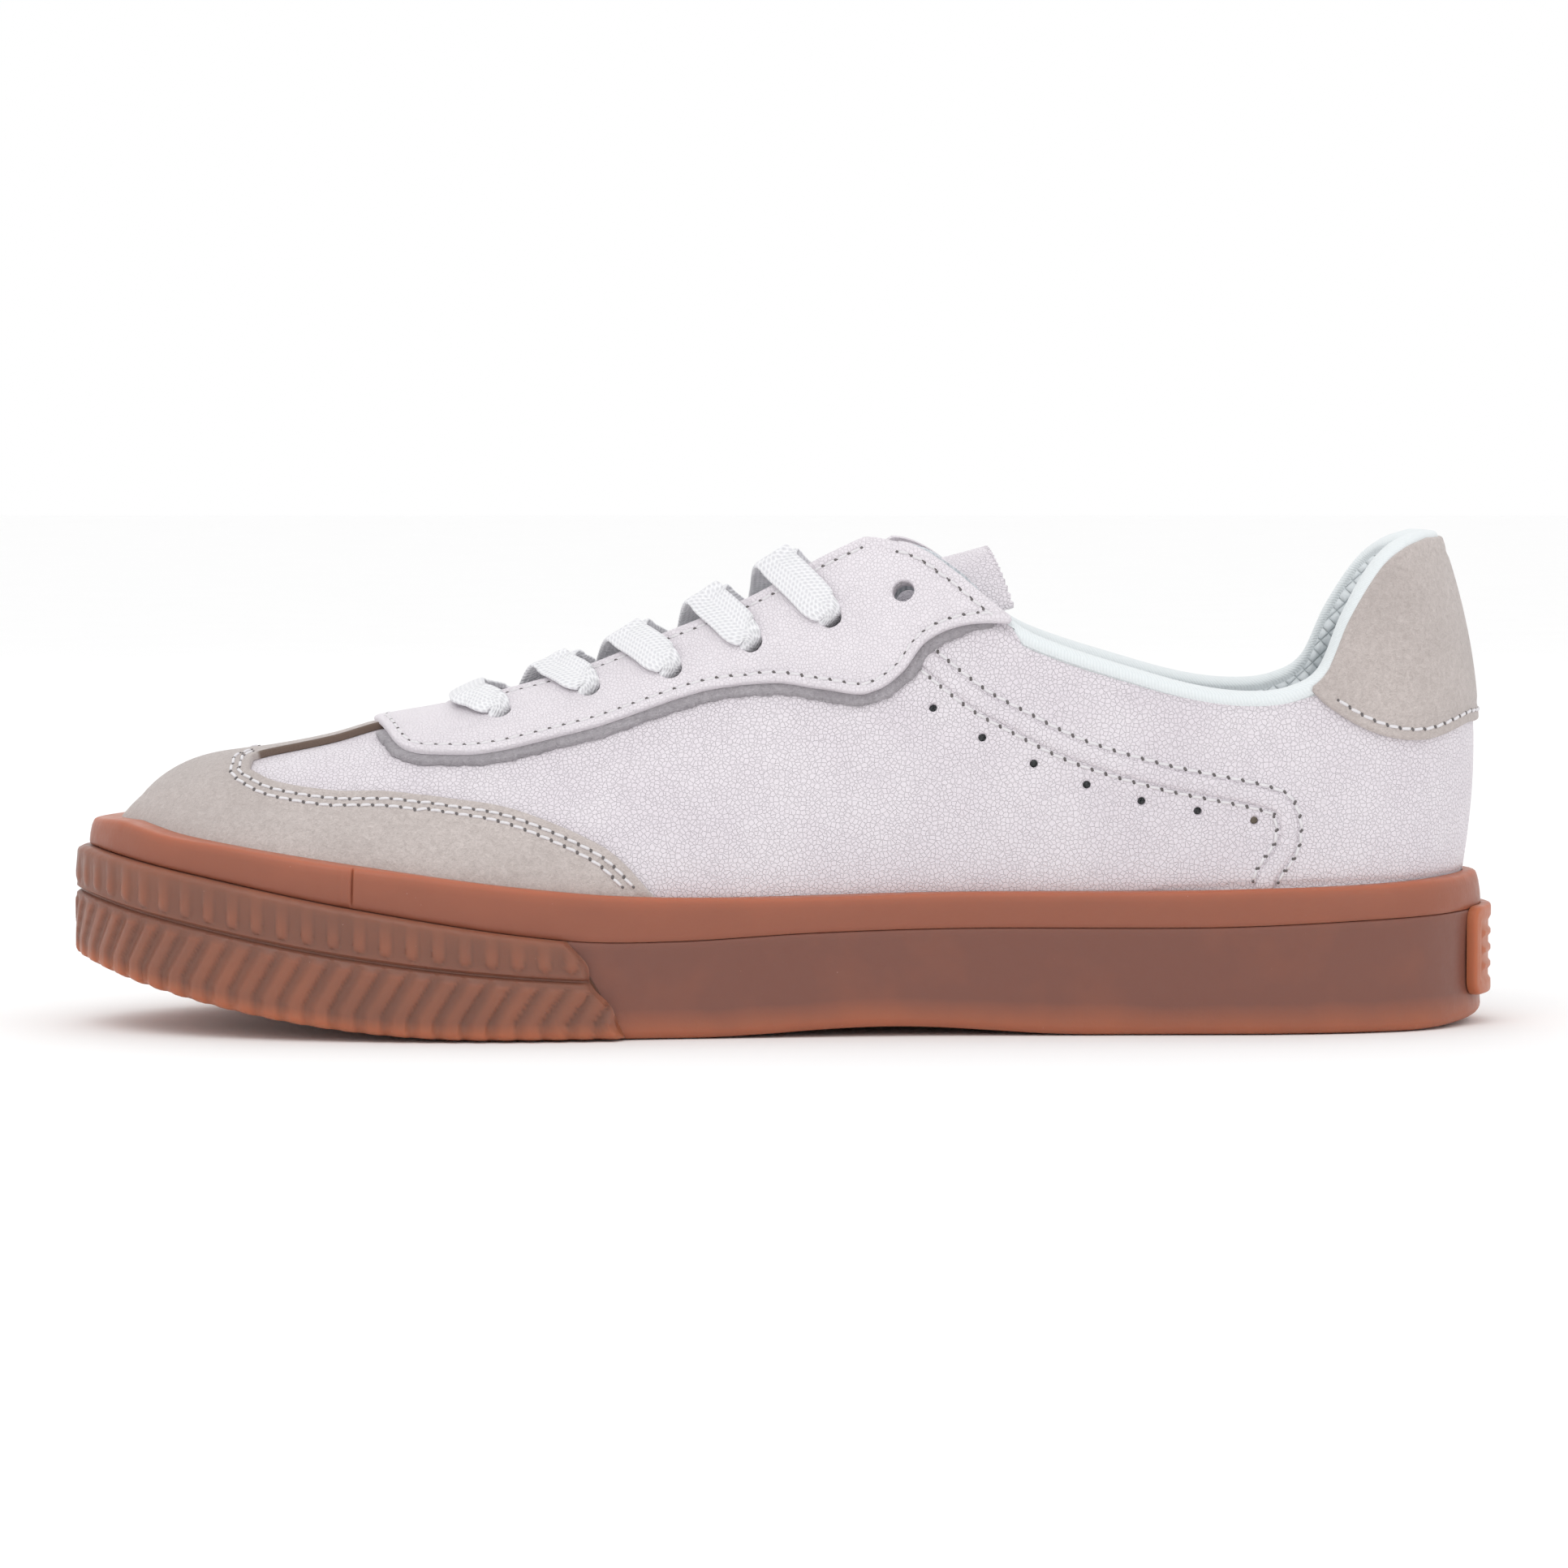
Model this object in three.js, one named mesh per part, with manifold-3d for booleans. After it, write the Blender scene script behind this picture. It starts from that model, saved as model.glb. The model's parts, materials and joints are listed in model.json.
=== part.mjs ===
// A low court shoe for the right foot: leather upper, gum rubber cupsole, flat lace.
// Millimetres. +X points to the toe, +Y to the inner (medial) side, +Z up.
import * as THREE from 'three';
import { mergeVertices } from 'three/addons/utils/BufferGeometryUtils.js';
import Module from 'manifold-3d';

const wasm = await Module();
wasm.setup();

// ---------------------------------------------------------------- driving dimensions

// Overall sizes of the shoe.
const SHOE_LENGTH = 300;
const SHOE_WIDTH = 107;
const SHOE_HEIGHT = 105;

// Rubber.
const TREAD_THICKNESS = 5.2;
const WALL_THICKNESS = 4.5;
const BUMPER_THICKNESS = 3.1;
const BUMPER_REAR = 37;
const GROOVE_DEPTH = 0.9;
const GROOVE_HEIGHT = 0.8;
const FOXING_LEAN = 1;
const LABEL_THICKNESS = 2;
const LABEL_LOW = 6;
const LABEL_HIGH = 25;
const LABEL_HALF_WIDTH = 15;
const EDGE_RADIUS = 1.8;
const TOE_SPRING = 15;
const WAIST_LIFT = 1.8;

// Stack under the foot.
const FILLER_AT_HEEL = 12;
const FILLER_AT_BALL = 7;
const BOARD_THICKNESS = 1.6;
const INSOLE_FOAM_THICKNESS = 4;
const INSOLE_COVER_THICKNESS = 0.8;

// Layers of the upper, from the outside in.
const OVERLAY_THICKNESS = 1.3;
const EYESTAY_THICKNESS = 1.1;
const BACKING_THICKNESS = 0.8;
const LEATHER_THICKNESS = 1.4;
const STIFFENER_THICKNESS = 1.5;
const LINING_THICKNESS = 0.9;
const COLLAR_PADDING = 4.5;
const BINDING_HEIGHT = 2;

// Lacing.
const EYELET_RADIUS = 2.35;
const LACE_WIDTH = 3.6;
const LACE_THICKNESS = 1.5;
const AGLET_LENGTH = 20;
const AGLET_RADIUS = 1.6;
const PERFORATION_RADIUS = 0.85;

// Tongue.
const TONGUE_LEATHER = 1.2;
const TONGUE_FOAM = 3;
const TONGUE_LINING = 0.8;

// Space between neighbouring pieces.
const GAP = 0.3;

// ---------------------------------------------------------------- curves and helpers

// The outlines below are drawn for a shoe of these sizes and stretched to the ones above.
const sx = SHOE_LENGTH / 300;
const sy = SHOE_WIDTH / 107;
const sz = SHOE_HEIGHT / 105;

const sideDrawing = (points) => points.map(([x, z]) => [x * sx, z * sz]);
const alongShoe = (points) => points.map(([x, value]) => [x * sx, value]);

// A smooth function through (x, value) pairs in rising x, held level beyond its ends.
function profile(points) {
  const slope = (i) => {
    const a = points[Math.max(i - 1, 0)];
    const b = points[Math.min(i + 1, points.length - 1)];
    return (b[1] - a[1]) / (b[0] - a[0]);
  };
  return (x) => {
    if (x <= points[0][0]) return points[0][1];
    if (x >= points.at(-1)[0]) return points.at(-1)[1];
    const i = points.findIndex((point) => point[0] > x) - 1;
    const [x0, v0] = points[i];
    const [x1, v1] = points[i + 1];
    const width = x1 - x0;
    const u = (x - x0) / width;
    const rise = (3 - 2 * u) * u * u;
    const bendIn = u * (1 - u) * (1 - u) * slope(i) * width;
    const bendOut = -u * u * (1 - u) * slope(i + 1) * width;
    return v0 + (v1 - v0) * rise + bendIn + bendOut;
  };
}

const smoothstep = THREE.MathUtils.smoothstep;
const spline2 = (points, steps) =>
  new THREE.SplineCurve(points.map(([x, y]) => new THREE.Vector2(x, y)))
    .getPoints(steps)
    .map((point) => [point.x, point.y]);

// The same line moved to its right by distance.
function beside(points, distance) {
  return points.map(([x, y], i) => {
    const [x0, y0] = points[Math.max(i - 1, 0)];
    const [x1, y1] = points[Math.min(i + 1, points.length - 1)];
    const length = Math.hypot(x1 - x0, y1 - y0);
    return [x + ((y1 - y0) / length) * distance, y - ((x1 - x0) / length) * distance];
  });
}

// The outside of the rubber wall in plan: x, medial y, lateral y, from heel to toe.
const WALL_PLAN = [
  [-144, 14, -15],
  [-131.5, 26.5, -27],
  [-107, 33.5, -35],
  [-68, 35, -38.5],
  [-25, 36.3, -45],
  [18, 42, -51.5],
  [58, 47.4, -52.3],
  [90, 45.3, -46],
  [116, 38.5, -34.5],
  [135.5, 26.5, -18],
];
const HEEL_TIP = [-148.3, -0.5];
const TOE_TIP = [146.8, 5.5];
const planPoint = (x, y) => new THREE.Vector3(x * sx, y * sy, 0);
const wallCurve = new THREE.CatmullRomCurve3(
  [
    planPoint(...HEEL_TIP),
    ...WALL_PLAN.map(([x, medial]) => planPoint(x, medial)),
    planPoint(...TOE_TIP),
    ...WALL_PLAN.map(([x, , lateral]) => planPoint(x, lateral)).reverse(),
  ],
  true,
  'catmullrom',
  0.5,
);
const SPANS = 2 * (WALL_PLAN.length + 1);
const STATIONS = SPANS * 2;

// Heights along the shoe.
const rimHeight = profile(
  sideDrawing([
    [-147, 32],
    [-123, 30.8],
    [-90, 29.9],
    [-39, 29.7],
    [23, 29],
    [55, 31.5],
    [88, 35.7],
    [128, 41.2],
    [140, 43.6],
  ]),
);
const ledgeHeight = profile(
  sideDrawing([
    [-147, 24.4],
    [-123, 23.5],
    [-89, 22.3],
    [-39, 22.3],
    [-5.5, 21.5],
    [23, 20.1],
    [44.7, 20.6],
    [88, 27],
    [120, 33],
    [145, 37.7],
  ]),
);
const fillerDepth = profile(
  alongShoe([
    [-60, FILLER_AT_HEEL],
    [-10, (FILLER_AT_HEEL + FILLER_AT_BALL) / 2],
    [40, FILLER_AT_BALL],
  ]),
);

// The sole stands flat under the heel and the ball, and lifts at the waist, heel tip and toe.
const FLAT_HEEL = [-130 * sx, -65 * sx];
const FLAT_BALL = [20 * sx, 60 * sx];
function groundHeight(x) {
  if (x > FLAT_BALL[1]) {
    return TOE_SPRING * ((x - FLAT_BALL[1]) / (148.7 * sx - FLAT_BALL[1])) ** 2;
  }
  if (x < FLAT_HEEL[0]) return WAIST_LIFT * ((FLAT_HEEL[0] - x) / (18 * sx)) ** 2;
  if (x < FLAT_HEEL[1] || x > FLAT_BALL[0]) return 0;
  const turn = (x - FLAT_HEEL[1]) / (FLAT_BALL[0] - FLAT_HEEL[1]);
  return (WAIST_LIFT * (1 - Math.cos(2 * Math.PI * turn))) / 2;
}
const cupFloor = (x) => groundHeight(x) + TREAD_THICKNESS;
const fillerTop = (x) => cupFloor(x) + GAP + fillerDepth(x);
const featherHeight = (x) => fillerTop(x) + GAP;

// A point round the rubber wall in plan, moved outwards by out.
function wallPoint(p, out) {
  const place = wallCurve.getPoint(p - Math.floor(p));
  const along = wallCurve.getTangent(p - Math.floor(p));
  return new THREE.Vector3(place.x - along.y * out, place.y + along.x * out, 0);
}

function weld(positions, triangles) {
  const geometry = new THREE.BufferGeometry();
  geometry.setAttribute('position', new THREE.Float32BufferAttribute(positions, 3));
  geometry.setIndex(triangles);
  return solidOf(geometry);
}

function solidOf(source) {
  const plain = source.clone();
  plain.deleteAttribute('normal');
  plain.deleteAttribute('uv');
  const merged = mergeVertices(plain, 1e-4);
  const index = [...merged.index.array];
  const kept = [];
  for (let i = 0; i < index.length; i += 3) {
    const [a, b, c] = index.slice(i, i + 3);
    if (a !== b && b !== c && c !== a) kept.push(a, b, c);
  }
  return new wasm.Manifold(
    new wasm.Mesh({
      numProp: 3,
      vertProperties: new Float32Array(merged.attributes.position.array),
      triVerts: new Uint32Array(kept),
    }),
  );
}

// A closed solid through rings of points that run round the shoe. rows[0] is the lowest ring.
// The bottom and top are closed straight across, from the medial to the lateral side.
function stack(rows) {
  const count = rows[0].length;
  const positions = rows.flat().flatMap((point) => [point.x, point.y, point.z]);
  const triangles = [];
  for (let row = 0; row + 1 < rows.length; row++) {
    for (let i = 0; i < count; i++) {
      const a = row * count + i;
      const b = row * count + ((i + 1) % count);
      triangles.push(a, a + count, b, b, a + count, b + count);
    }
  }
  const cover = (start, up) => {
    for (let i = 0; i < count / 2; i++) {
      const m0 = start + i;
      const m1 = start + i + 1;
      const l0 = start + ((count - i) % count);
      const l1 = start + count - i - 1;
      const faces = [m0, m1, l1, m0, l1, l0];
      triangles.push(...(up ? faces.reverse() : faces));
    }
  };
  cover(0, false);
  cover((rows.length - 1) * count, true);
  return weld(positions, triangles);
}

const roundShoe = (make) =>
  Array.from({ length: STATIONS }, (_, i) => make(i / STATIONS));

// A ring in plan, out from the wall, at the height that height(x) gives.
const planRing = (out, height) =>
  roundShoe((p) => {
    const point = wallPoint(p, out);
    return point.setZ(height(point.x));
  });

const slab = (out, low, high) => stack([planRing(out, low), planRing(out, high)]);

// A prism through the shoe from side to side, of an outline in x and z.
function sidePrism(points, fromY = -200, toY = 200) {
  const shape = new THREE.Shape(points.map(([x, z]) => new THREE.Vector2(x, z)));
  const geometry = new THREE.ExtrudeGeometry(shape, { depth: toY - fromY, bevelEnabled: false });
  geometry.rotateX(Math.PI / 2);
  geometry.translate(0, toY, 0);
  return solidOf(geometry);
}

// An upright prism of an outline in x and y.
function planPrism(points, low, high) {
  const shape = new THREE.Shape(points.map(([x, y]) => new THREE.Vector2(x, y)));
  const geometry = new THREE.ExtrudeGeometry(shape, { depth: high - low, bevelEnabled: false });
  geometry.translate(0, 0, low);
  return solidOf(geometry);
}

// A closed solid through sections of equally many points, closed at both ends.
function loft(sections) {
  const count = sections[0].length;
  const positions = sections.flat().flatMap((point) => [point.x, point.y, point.z]);
  const triangles = [];
  for (let s = 0; s + 1 < sections.length; s++) {
    for (let i = 0; i < count; i++) {
      const a = s * count + i;
      const b = s * count + ((i + 1) % count);
      triangles.push(a, b, a + count, b, b + count, a + count);
    }
  }
  const last = (sections.length - 1) * count;
  for (let i = 1; i + 1 < count; i++) {
    triangles.push(0, i + 1, i, last, last + i, last + i + 1);
  }
  return weld(positions, triangles);
}

// ---------------------------------------------------------------- the upper's surface

// The upper is a dome over the foot. Its ridge is real over the toes and only a guide
// over the throat and ankle, where the dome is cut open.
const ridgeY = profile(
  [
    [-110, -0.5],
    [-50, -2.8],
    [0, -3.6],
    [60, -1.6],
    [90, 1],
    [112, 3.5],
  ].map(([x, y]) => [x * sx, y * sy]),
);
const ridgeHeight = profile(
  sideDrawing([
    [-106, 150],
    [-80, 147],
    [-50, 135],
    [-21.5, 118.3],
    [-10, 110.5],
    [6, 97.5],
    [23, 86.5],
    [40, 76.3],
    [59, 69.2],
    [70, 65.2],
    [85, 62.4],
    [95, 59.5],
    [112, 55.8],
  ]),
);
const fullness = profile(
  alongShoe([
    [-106, 2.5],
    [-80, 2.35],
    [-50, 2.05],
    [-20, 1.8],
    [25, 1.8],
    [60, 1.95],
    [85, 2.25],
    [110, 2.5],
  ]),
);
const swell = profile(
  alongShoe([
    [-145, 5.5],
    [-100, 4.5],
    [-40, 3.5],
    [40, 3],
    [146, 2.5],
  ]),
);
const UPPER_INSET = WALL_THICKNESS + OVERLAY_THICKNESS + 2 * GAP;

// The ridge is shorter than the sole: it gathers towards its two ends.
function ridgePlace(x) {
  const toeStart = 90 * sx;
  const heelStart = -85 * sx;
  if (x > toeStart) return toeStart + 22 * sx * (1 - Math.exp((toeStart - x) / (25 * sx)));
  if (x < heelStart) return heelStart - 25 * sx * (1 - Math.exp((x - heelStart) / (28 * sx)));
  return x;
}

// A point of the leather's outside. p runs round the shoe, t from the feather line to the ridge.
function domePoint(p, t) {
  const foot = wallPoint(p, -UPPER_INSET);
  const x = ridgePlace(wallPoint(p, 0).x);
  const ridge = new THREE.Vector3(x, ridgeY(x), ridgeHeight(x));
  const power = 2 / fullness(x);
  const up = Math.sin((t * Math.PI) / 2) ** power;
  const across = Math.max(Math.cos((t * Math.PI) / 2), 0) ** power;
  const reach = foot.clone().sub(ridge).setZ(0);
  const push = swell(foot.x) * Math.sin(Math.PI * Math.min(up / 0.7, 1));
  const base = featherHeight(foot.x);
  const point = ridge.clone().addScaledVector(reach, across);
  point.addScaledVector(reach.normalize(), push);
  return point.setZ(base + (ridge.z - base) * up);
}

function domeNormal(p, t) {
  if (t > 0.995) return new THREE.Vector3(0, 0, 1);
  const dp = domePoint(p + 0.002, t).sub(domePoint(p - 0.002, t));
  const low = Math.max(t - 0.01, 0);
  const dt = domePoint(p, t + 0.004).sub(domePoint(p, low));
  const normal = dt.cross(dp).normalize();
  if (t === 0) normal.setZ(0).normalize();
  return normal;
}

// The surface at a distance out from the leather's outside. out is a number or out(point).
function layerPoint(p, t, out) {
  const point = domePoint(p, t);
  const distance = typeof out === 'function' ? out(point) : out;
  return point.addScaledVector(domeNormal(p, t), distance);
}

const DOME_ROWS = 7;
function dome(out, drop) {
  const rows = [];
  const foot = roundShoe((p) => layerPoint(p, 0, out));
  if (drop) rows.push(foot.map((point) => point.clone().setZ(point.z - drop)));
  rows.push(foot);
  for (let row = 1; row <= DOME_ROWS; row++) {
    rows.push(roundShoe((p) => layerPoint(p, row / DOME_ROWS, out)));
  }
  return stack(rows);
}

const shell = (outer, inner) => dome(outer, 0).subtract(dome(inner, 6));

// Where a place seen from the side lies on the leather: its p and t. side is 1 medial, -1 lateral.
function findOnDome(x, z, side) {
  let p = side > 0 ? 0.28 : 0.72;
  let t = 0.5;
  for (let step = 0; step < 40; step++) {
    const here = domePoint(p, t);
    const dp = domePoint(p + 1e-4, t).sub(here).divideScalar(1e-4);
    const dt = domePoint(p, t + 1e-4).sub(here).divideScalar(1e-4);
    const ex = x - here.x;
    const ez = z - here.z;
    const det = dp.x * dt.z - dt.x * dp.z;
    p += THREE.MathUtils.clamp((ex * dt.z - dt.x * ez) / det, -0.03, 0.03);
    t += THREE.MathUtils.clamp((dp.x * ez - ex * dp.z) / det, -0.1, 0.1);
    t = THREE.MathUtils.clamp(t, 0.01, 0.97);
  }
  return { p, t };
}

// ---------------------------------------------------------------- outlines of the panels

// The top edge of the upper from the heel to the corner above the last eyelet.
const COLLAR_EDGE = sideDrawing([
  [-134.6, 104.6],
  [-129.6, 102.6],
  [-124.5, 98.4],
  [-117.8, 88],
  [-112.8, 77.1],
  [-106, 72.7],
  [-97, 71.6],
  [-86, 72.9],
  [-72.6, 76.6],
  [-55.8, 82.1],
  [-48.3, 85.8],
]);
const FLANK_EDGE = sideDrawing([
  [-48.3, 85.8],
  [-33.2, 97.7],
  [-27.3, 100.7],
  [-21.5, 101.4],
]);
const collarCurve = spline2(COLLAR_EDGE, 20);
const flankCurve = spline2(FLANK_EDGE, 5);
const far = { heel: -170 * sx, toe: 170 * sx, low: -10, high: 170 * sz };
const collarHeight = profile(COLLAR_EDGE);

// The seam between the vamp and the rear quarters, from the sole up to the throat.
const SEAM = sideDrawing([
  [-99, -10],
  [-100.6, 31.8],
  [-104.9, 39.4],
  [-104.4, 46.3],
  [-99.4, 49.3],
  [-79.3, 53.5],
  [-61.8, 58.7],
  [-48.4, 65.2],
  [-39.6, 70.2],
  [-28.5, 79.1],
  [-18, 89],
  [-8, 104],
  [2, 170],
]);
const seamAt = (shift) => beside(spline2(SEAM, 26), shift);

// The lower edge of the eyestay, from the toe end to the collar.
const EYESTAY_EDGE = sideDrawing([
  [84.6, 61.3],
  [80, 58],
  [69.4, 56.7],
  [58.7, 57.7],
  [43.7, 61.3],
  [28, 66.4],
  [14.3, 70.7],
  [2.3, 72],
  [-7.9, 71],
  [-17.8, 70.2],
  [-24.8, 74.4],
  [-30, 80.8],
  [-37.4, 84.2],
  [-48.9, 84.6],
]);
const BACKING_SHOWS = 1.8;

// The upper edge of the toe piece's wings, from the strip back to the tip of each wing.
const WING_EDGE = sideDrawing([
  [112, 53.4],
  [105, 51.1],
  [90.9, 49.7],
  [69.4, 48.3],
  [52.3, 45.3],
  [37.3, 39.1],
  [28, 30.5],
  [24.6, 26],
]);

// The lower edge of the heel patch, from the collar round to the back of the heel.
const PATCH_EDGE = sideDrawing([
  [-106.6, 75],
  [-113.1, 68.2],
  [-123.4, 62.4],
  [-133.6, 60.8],
  [-143.9, 63.8],
  [-150, 67],
]);

// The open throat in plan: x and half its width.
const THROAT = [
  [69.5, 0.2],
  [68.5, 3.5],
  [65, 7],
  [59, 10],
  [40, 12],
  [23, 13.5],
  [6, 15.5],
  [-10, 18],
  [-21.5, 19.5],
  [-35, 21.5],
  [-60, 26],
].map(([x, half]) => [x * sx, half * sy]);
const throatHalf = profile([...THROAT].reverse());

const EYELETS = sideDrawing([
  [59, 64.6],
  [40.1, 69.6],
  [23, 74.1],
  [6.2, 80],
  [-10.2, 85.5],
  [-25.5, 91],
]);
const PERFORATIONS = sideDrawing([
  [-31.2, 67.8],
  [-41.4, 61.7],
  [-52.1, 56.3],
  [-63.1, 51.9],
  [-74.5, 48.5],
  [-86.2, 46.4],
  [-98, 44.4],
]);

const throatCut = (wider) =>
  planPrism(
    [
      ...THROAT.map(([x, half]) => [x + wider, ridgeY(x) + half + wider]),
      ...[...THROAT].reverse().map(([x, half]) => [x + wider, ridgeY(x) - half - wider]),
    ],
    45 * sz,
    far.high,
  );
const throatPrism = throatCut(0);
const LINING_SETBACK = 1;

// Everything above the upper's top edge. The collar is lowered to leave room for its binding.
function abovePrism(lowered) {
  const collar = collarCurve.map(([x, z]) => [x, z - lowered]);
  return sidePrism([
    [far.heel, collar[0][1]],
    ...collar,
    ...flankCurve.slice(1),
    [-10 * sx, 104 * sz],
    [0, far.high],
    [far.heel, far.high],
  ]);
}

const sides = [1, -1];
const holeThrough = ([x, z], side, radius, sidesOfHole) => {
  const { p, t } = findOnDome(x, z, side);
  const normal = domeNormal(p, t);
  const geometry = new THREE.CylinderGeometry(radius, radius, 24, sidesOfHole);
  geometry.applyQuaternion(
    new THREE.Quaternion().setFromUnitVectors(new THREE.Vector3(0, 1, 0), normal),
  );
  geometry.translate(...domePoint(p, t).toArray());
  return solidOf(geometry);
};
const allHoles = (places, radius, sidesOfHole) =>
  wasm.Manifold.union(
    places.flatMap((spot) => sides.map((side) => holeThrough(spot, side, radius, sidesOfHole))),
  );
const eyeletHoles = allHoles(EYELETS, EYELET_RADIUS, 10);
const perforations = allHoles(PERFORATIONS, PERFORATION_RADIUS, 6);

const halfSpace = (side) =>
  planPrism(
    [
      [far.heel, 0],
      [far.toe, 0],
      [far.toe, side * 200],
      [far.heel, side * 200],
    ],
    -20,
    far.high,
  ).translate([0, (side * GAP) / 2, 0]);

// ---------------------------------------------------------------- rubber

function cupsole() {
  const outer = stack([
    planRing(-EDGE_RADIUS, groundHeight),
    planRing(0, (x) => groundHeight(x) + EDGE_RADIUS),
    planRing(0, ledgeHeight),
  ]);
  return outer.subtract(rubberCavity(cupFloor));
}

// The room that the rubber leaves for the upper, down to the height that floor(x) gives.
function rubberCavity(floor) {
  const out = OVERLAY_THICKNESS + 2 * GAP;
  const foot = roundShoe((p) => layerPoint(p, 0, out));
  const rows = [foot.map((point) => point.clone().setZ(floor(point.x))), foot];
  for (let row = 1; row <= DOME_ROWS; row++) {
    rows.push(roundShoe((p) => layerPoint(p, row / DOME_ROWS, out)));
  }
  return stack(rows);
}

const FOXING_JOINT = 88 * sx;
const JOINT_SLANT = 1.5;
function foxingStrip() {
  const band = stack([
    planRing(-GAP, (x) => ledgeHeight(x) + GAP),
    planRing(-GAP - FOXING_LEAN, rimHeight),
  ]);
  const joint = sidePrism(
    [
      [FOXING_JOINT, 0],
      [FOXING_JOINT + GAP, 0],
      [FOXING_JOINT + GAP - JOINT_SLANT, far.high],
      [FOXING_JOINT - JOINT_SLANT, far.high],
    ],
    0,
    200,
  );
  return band.subtract(rubberCavity(cupFloor)).subtract(joint);
}

// The groove's place in the bumper's height, and how far the bumper's rear end slants.
const GROOVE_SHARE = 0.6;
const BUMPER_SLANT = 11;
function toeBumper() {
  const low = (x) => groundHeight(x) + GAP;
  const high = (x) => ledgeHeight(x) - GAP;
  const at = (share, shift) => (x) => low(x) + (high(x) - low(x)) * share + shift;
  const outer = stack([
    planRing(GAP + BUMPER_THICKNESS - EDGE_RADIUS, low),
    planRing(GAP + BUMPER_THICKNESS, at(0, EDGE_RADIUS)),
    planRing(GAP + BUMPER_THICKNESS, at(GROOVE_SHARE, -GROOVE_HEIGHT)),
    planRing(GAP + BUMPER_THICKNESS - GROOVE_DEPTH, at(GROOVE_SHARE, 0)),
    planRing(GAP + BUMPER_THICKNESS, at(GROOVE_SHARE, GROOVE_HEIGHT)),
    planRing(GAP + BUMPER_THICKNESS, at(1, -EDGE_RADIUS / 2)),
    planRing(GAP + BUMPER_THICKNESS - EDGE_RADIUS / 2, high),
  ]);
  const inner = slab(GAP, () => far.low, () => far.high);
  const rear = BUMPER_REAR * sx;
  const front = sidePrism([
    [rear - BUMPER_SLANT / 4, far.low],
    [far.toe, far.low],
    [far.toe, far.high],
    [rear + BUMPER_SLANT, far.high],
    [rear + (BUMPER_SLANT * 3) / 4, ledgeHeight(rear)],
  ]);
  return outer.subtract(inner).intersect(front);
}

function heelLabel() {
  const spread = 0.055;
  const steps = 10;
  const sections = [];
  for (let step = 0; step <= steps; step++) {
    const p = spread * ((2 * step) / steps - 1);
    const crown = 1 - ((2 * step) / steps - 1) ** 2;
    const high = LABEL_HIGH - 3 * (1 - crown);
    const place = (out, z) => wallPoint(p, out).setZ(z);
    sections.push([
      place(GAP, LABEL_LOW),
      place(GAP + LABEL_THICKNESS - 0.6, LABEL_LOW),
      place(GAP + LABEL_THICKNESS, LABEL_LOW + 1),
      place(GAP + LABEL_THICKNESS, high - 2.5),
      place(GAP, high),
    ]);
  }
  const plate = loft(sections);
  const width = LABEL_HALF_WIDTH;
  return plate.intersect(
    planPrism(
      [
        [far.heel, -width],
        [0, -width],
        [0, width],
        [far.heel, width],
      ],
      far.low,
      far.high,
    ),
  );
}

// ---------------------------------------------------------------- under the foot

const INSIDE = -(LEATHER_THICKNESS + STIFFENER_THICKNESS + LINING_THICKNESS + 3 * GAP);
const INSOLE_INSET = -UPPER_INSET + INSIDE - 2 * GAP;

const midsoleFiller = () => slab(-WALL_THICKNESS - GAP, (x) => cupFloor(x) + GAP, fillerTop);
const boardTop = (x) => featherHeight(x) + BOARD_THICKNESS;
const foamTop = (x) => boardTop(x) + GAP + INSOLE_FOAM_THICKNESS;
const insoleTop = (x) => foamTop(x) + GAP + INSOLE_COVER_THICKNESS;
const insoleBoard = () => slab(INSOLE_INSET, featherHeight, boardTop);
const insoleFoam = () => slab(INSOLE_INSET, (x) => boardTop(x) + GAP, foamTop);
const insoleCover = () => slab(INSOLE_INSET, (x) => foamTop(x) + GAP, insoleTop);

// ---------------------------------------------------------------- leather

const leather = shell(0, -LEATHER_THICKNESS);
const overlay = shell(GAP + OVERLAY_THICKNESS, GAP);
const stiffener = shell(
  -LEATHER_THICKNESS - GAP,
  -LEATHER_THICKNESS - GAP - STIFFENER_THICKNESS,
);

function vamp() {
  const front = sidePrism([
    ...seamAt(GAP / 2),
    [far.toe, far.high],
    [far.toe, far.low],
  ]);
  return leather
    .intersect(front)
    .subtract(throatPrism)
    .subtract(abovePrism(BINDING_HEIGHT + GAP))
    .subtract(eyeletHoles)
    .subtract(perforations);
}

function rearQuarter(side) {
  const rear = sidePrism([
    ...seamAt(-GAP / 2),
    [far.heel, far.high],
    [far.heel, far.low],
  ]);
  return leather
    .intersect(rear)
    .subtract(throatPrism)
    .subtract(abovePrism(BINDING_HEIGHT + GAP))
    .subtract(eyeletHoles)
    .intersect(halfSpace(side));
}

const STRIP_HALF_WIDTH = 6.5;
function toeOverlay() {
  const wings = sidePrism([
    [WING_EDGE[0][0] + 1, far.high],
    ...spline2(WING_EDGE, 16),
    [WING_EDGE.at(-1)[0], far.low],
    [far.toe, far.low],
    [far.toe, far.high],
  ]);
  const stripEnd = 86 * sx;
  const corner = WING_EDGE[0][0];
  const stripSide = [
    [stripEnd, STRIP_HALF_WIDTH],
    [corner - 10, STRIP_HALF_WIDTH + 0.3],
    [corner - 3, STRIP_HALF_WIDTH + 3],
    [corner + 4, STRIP_HALF_WIDTH + 12],
  ];
  const middle = ridgeY(corner);
  const strip = planPrism(
    [
      ...stripSide.map(([x, y]) => [x, middle + y]),
      ...stripSide.reverse().map(([x, y]) => [x, middle - y]),
    ],
    45 * sz,
    far.high,
  );
  const belowLedge = slab(20, () => far.low, ledgeHeight);
  return overlay.intersect(wings.add(strip)).subtract(belowLedge);
}

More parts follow.
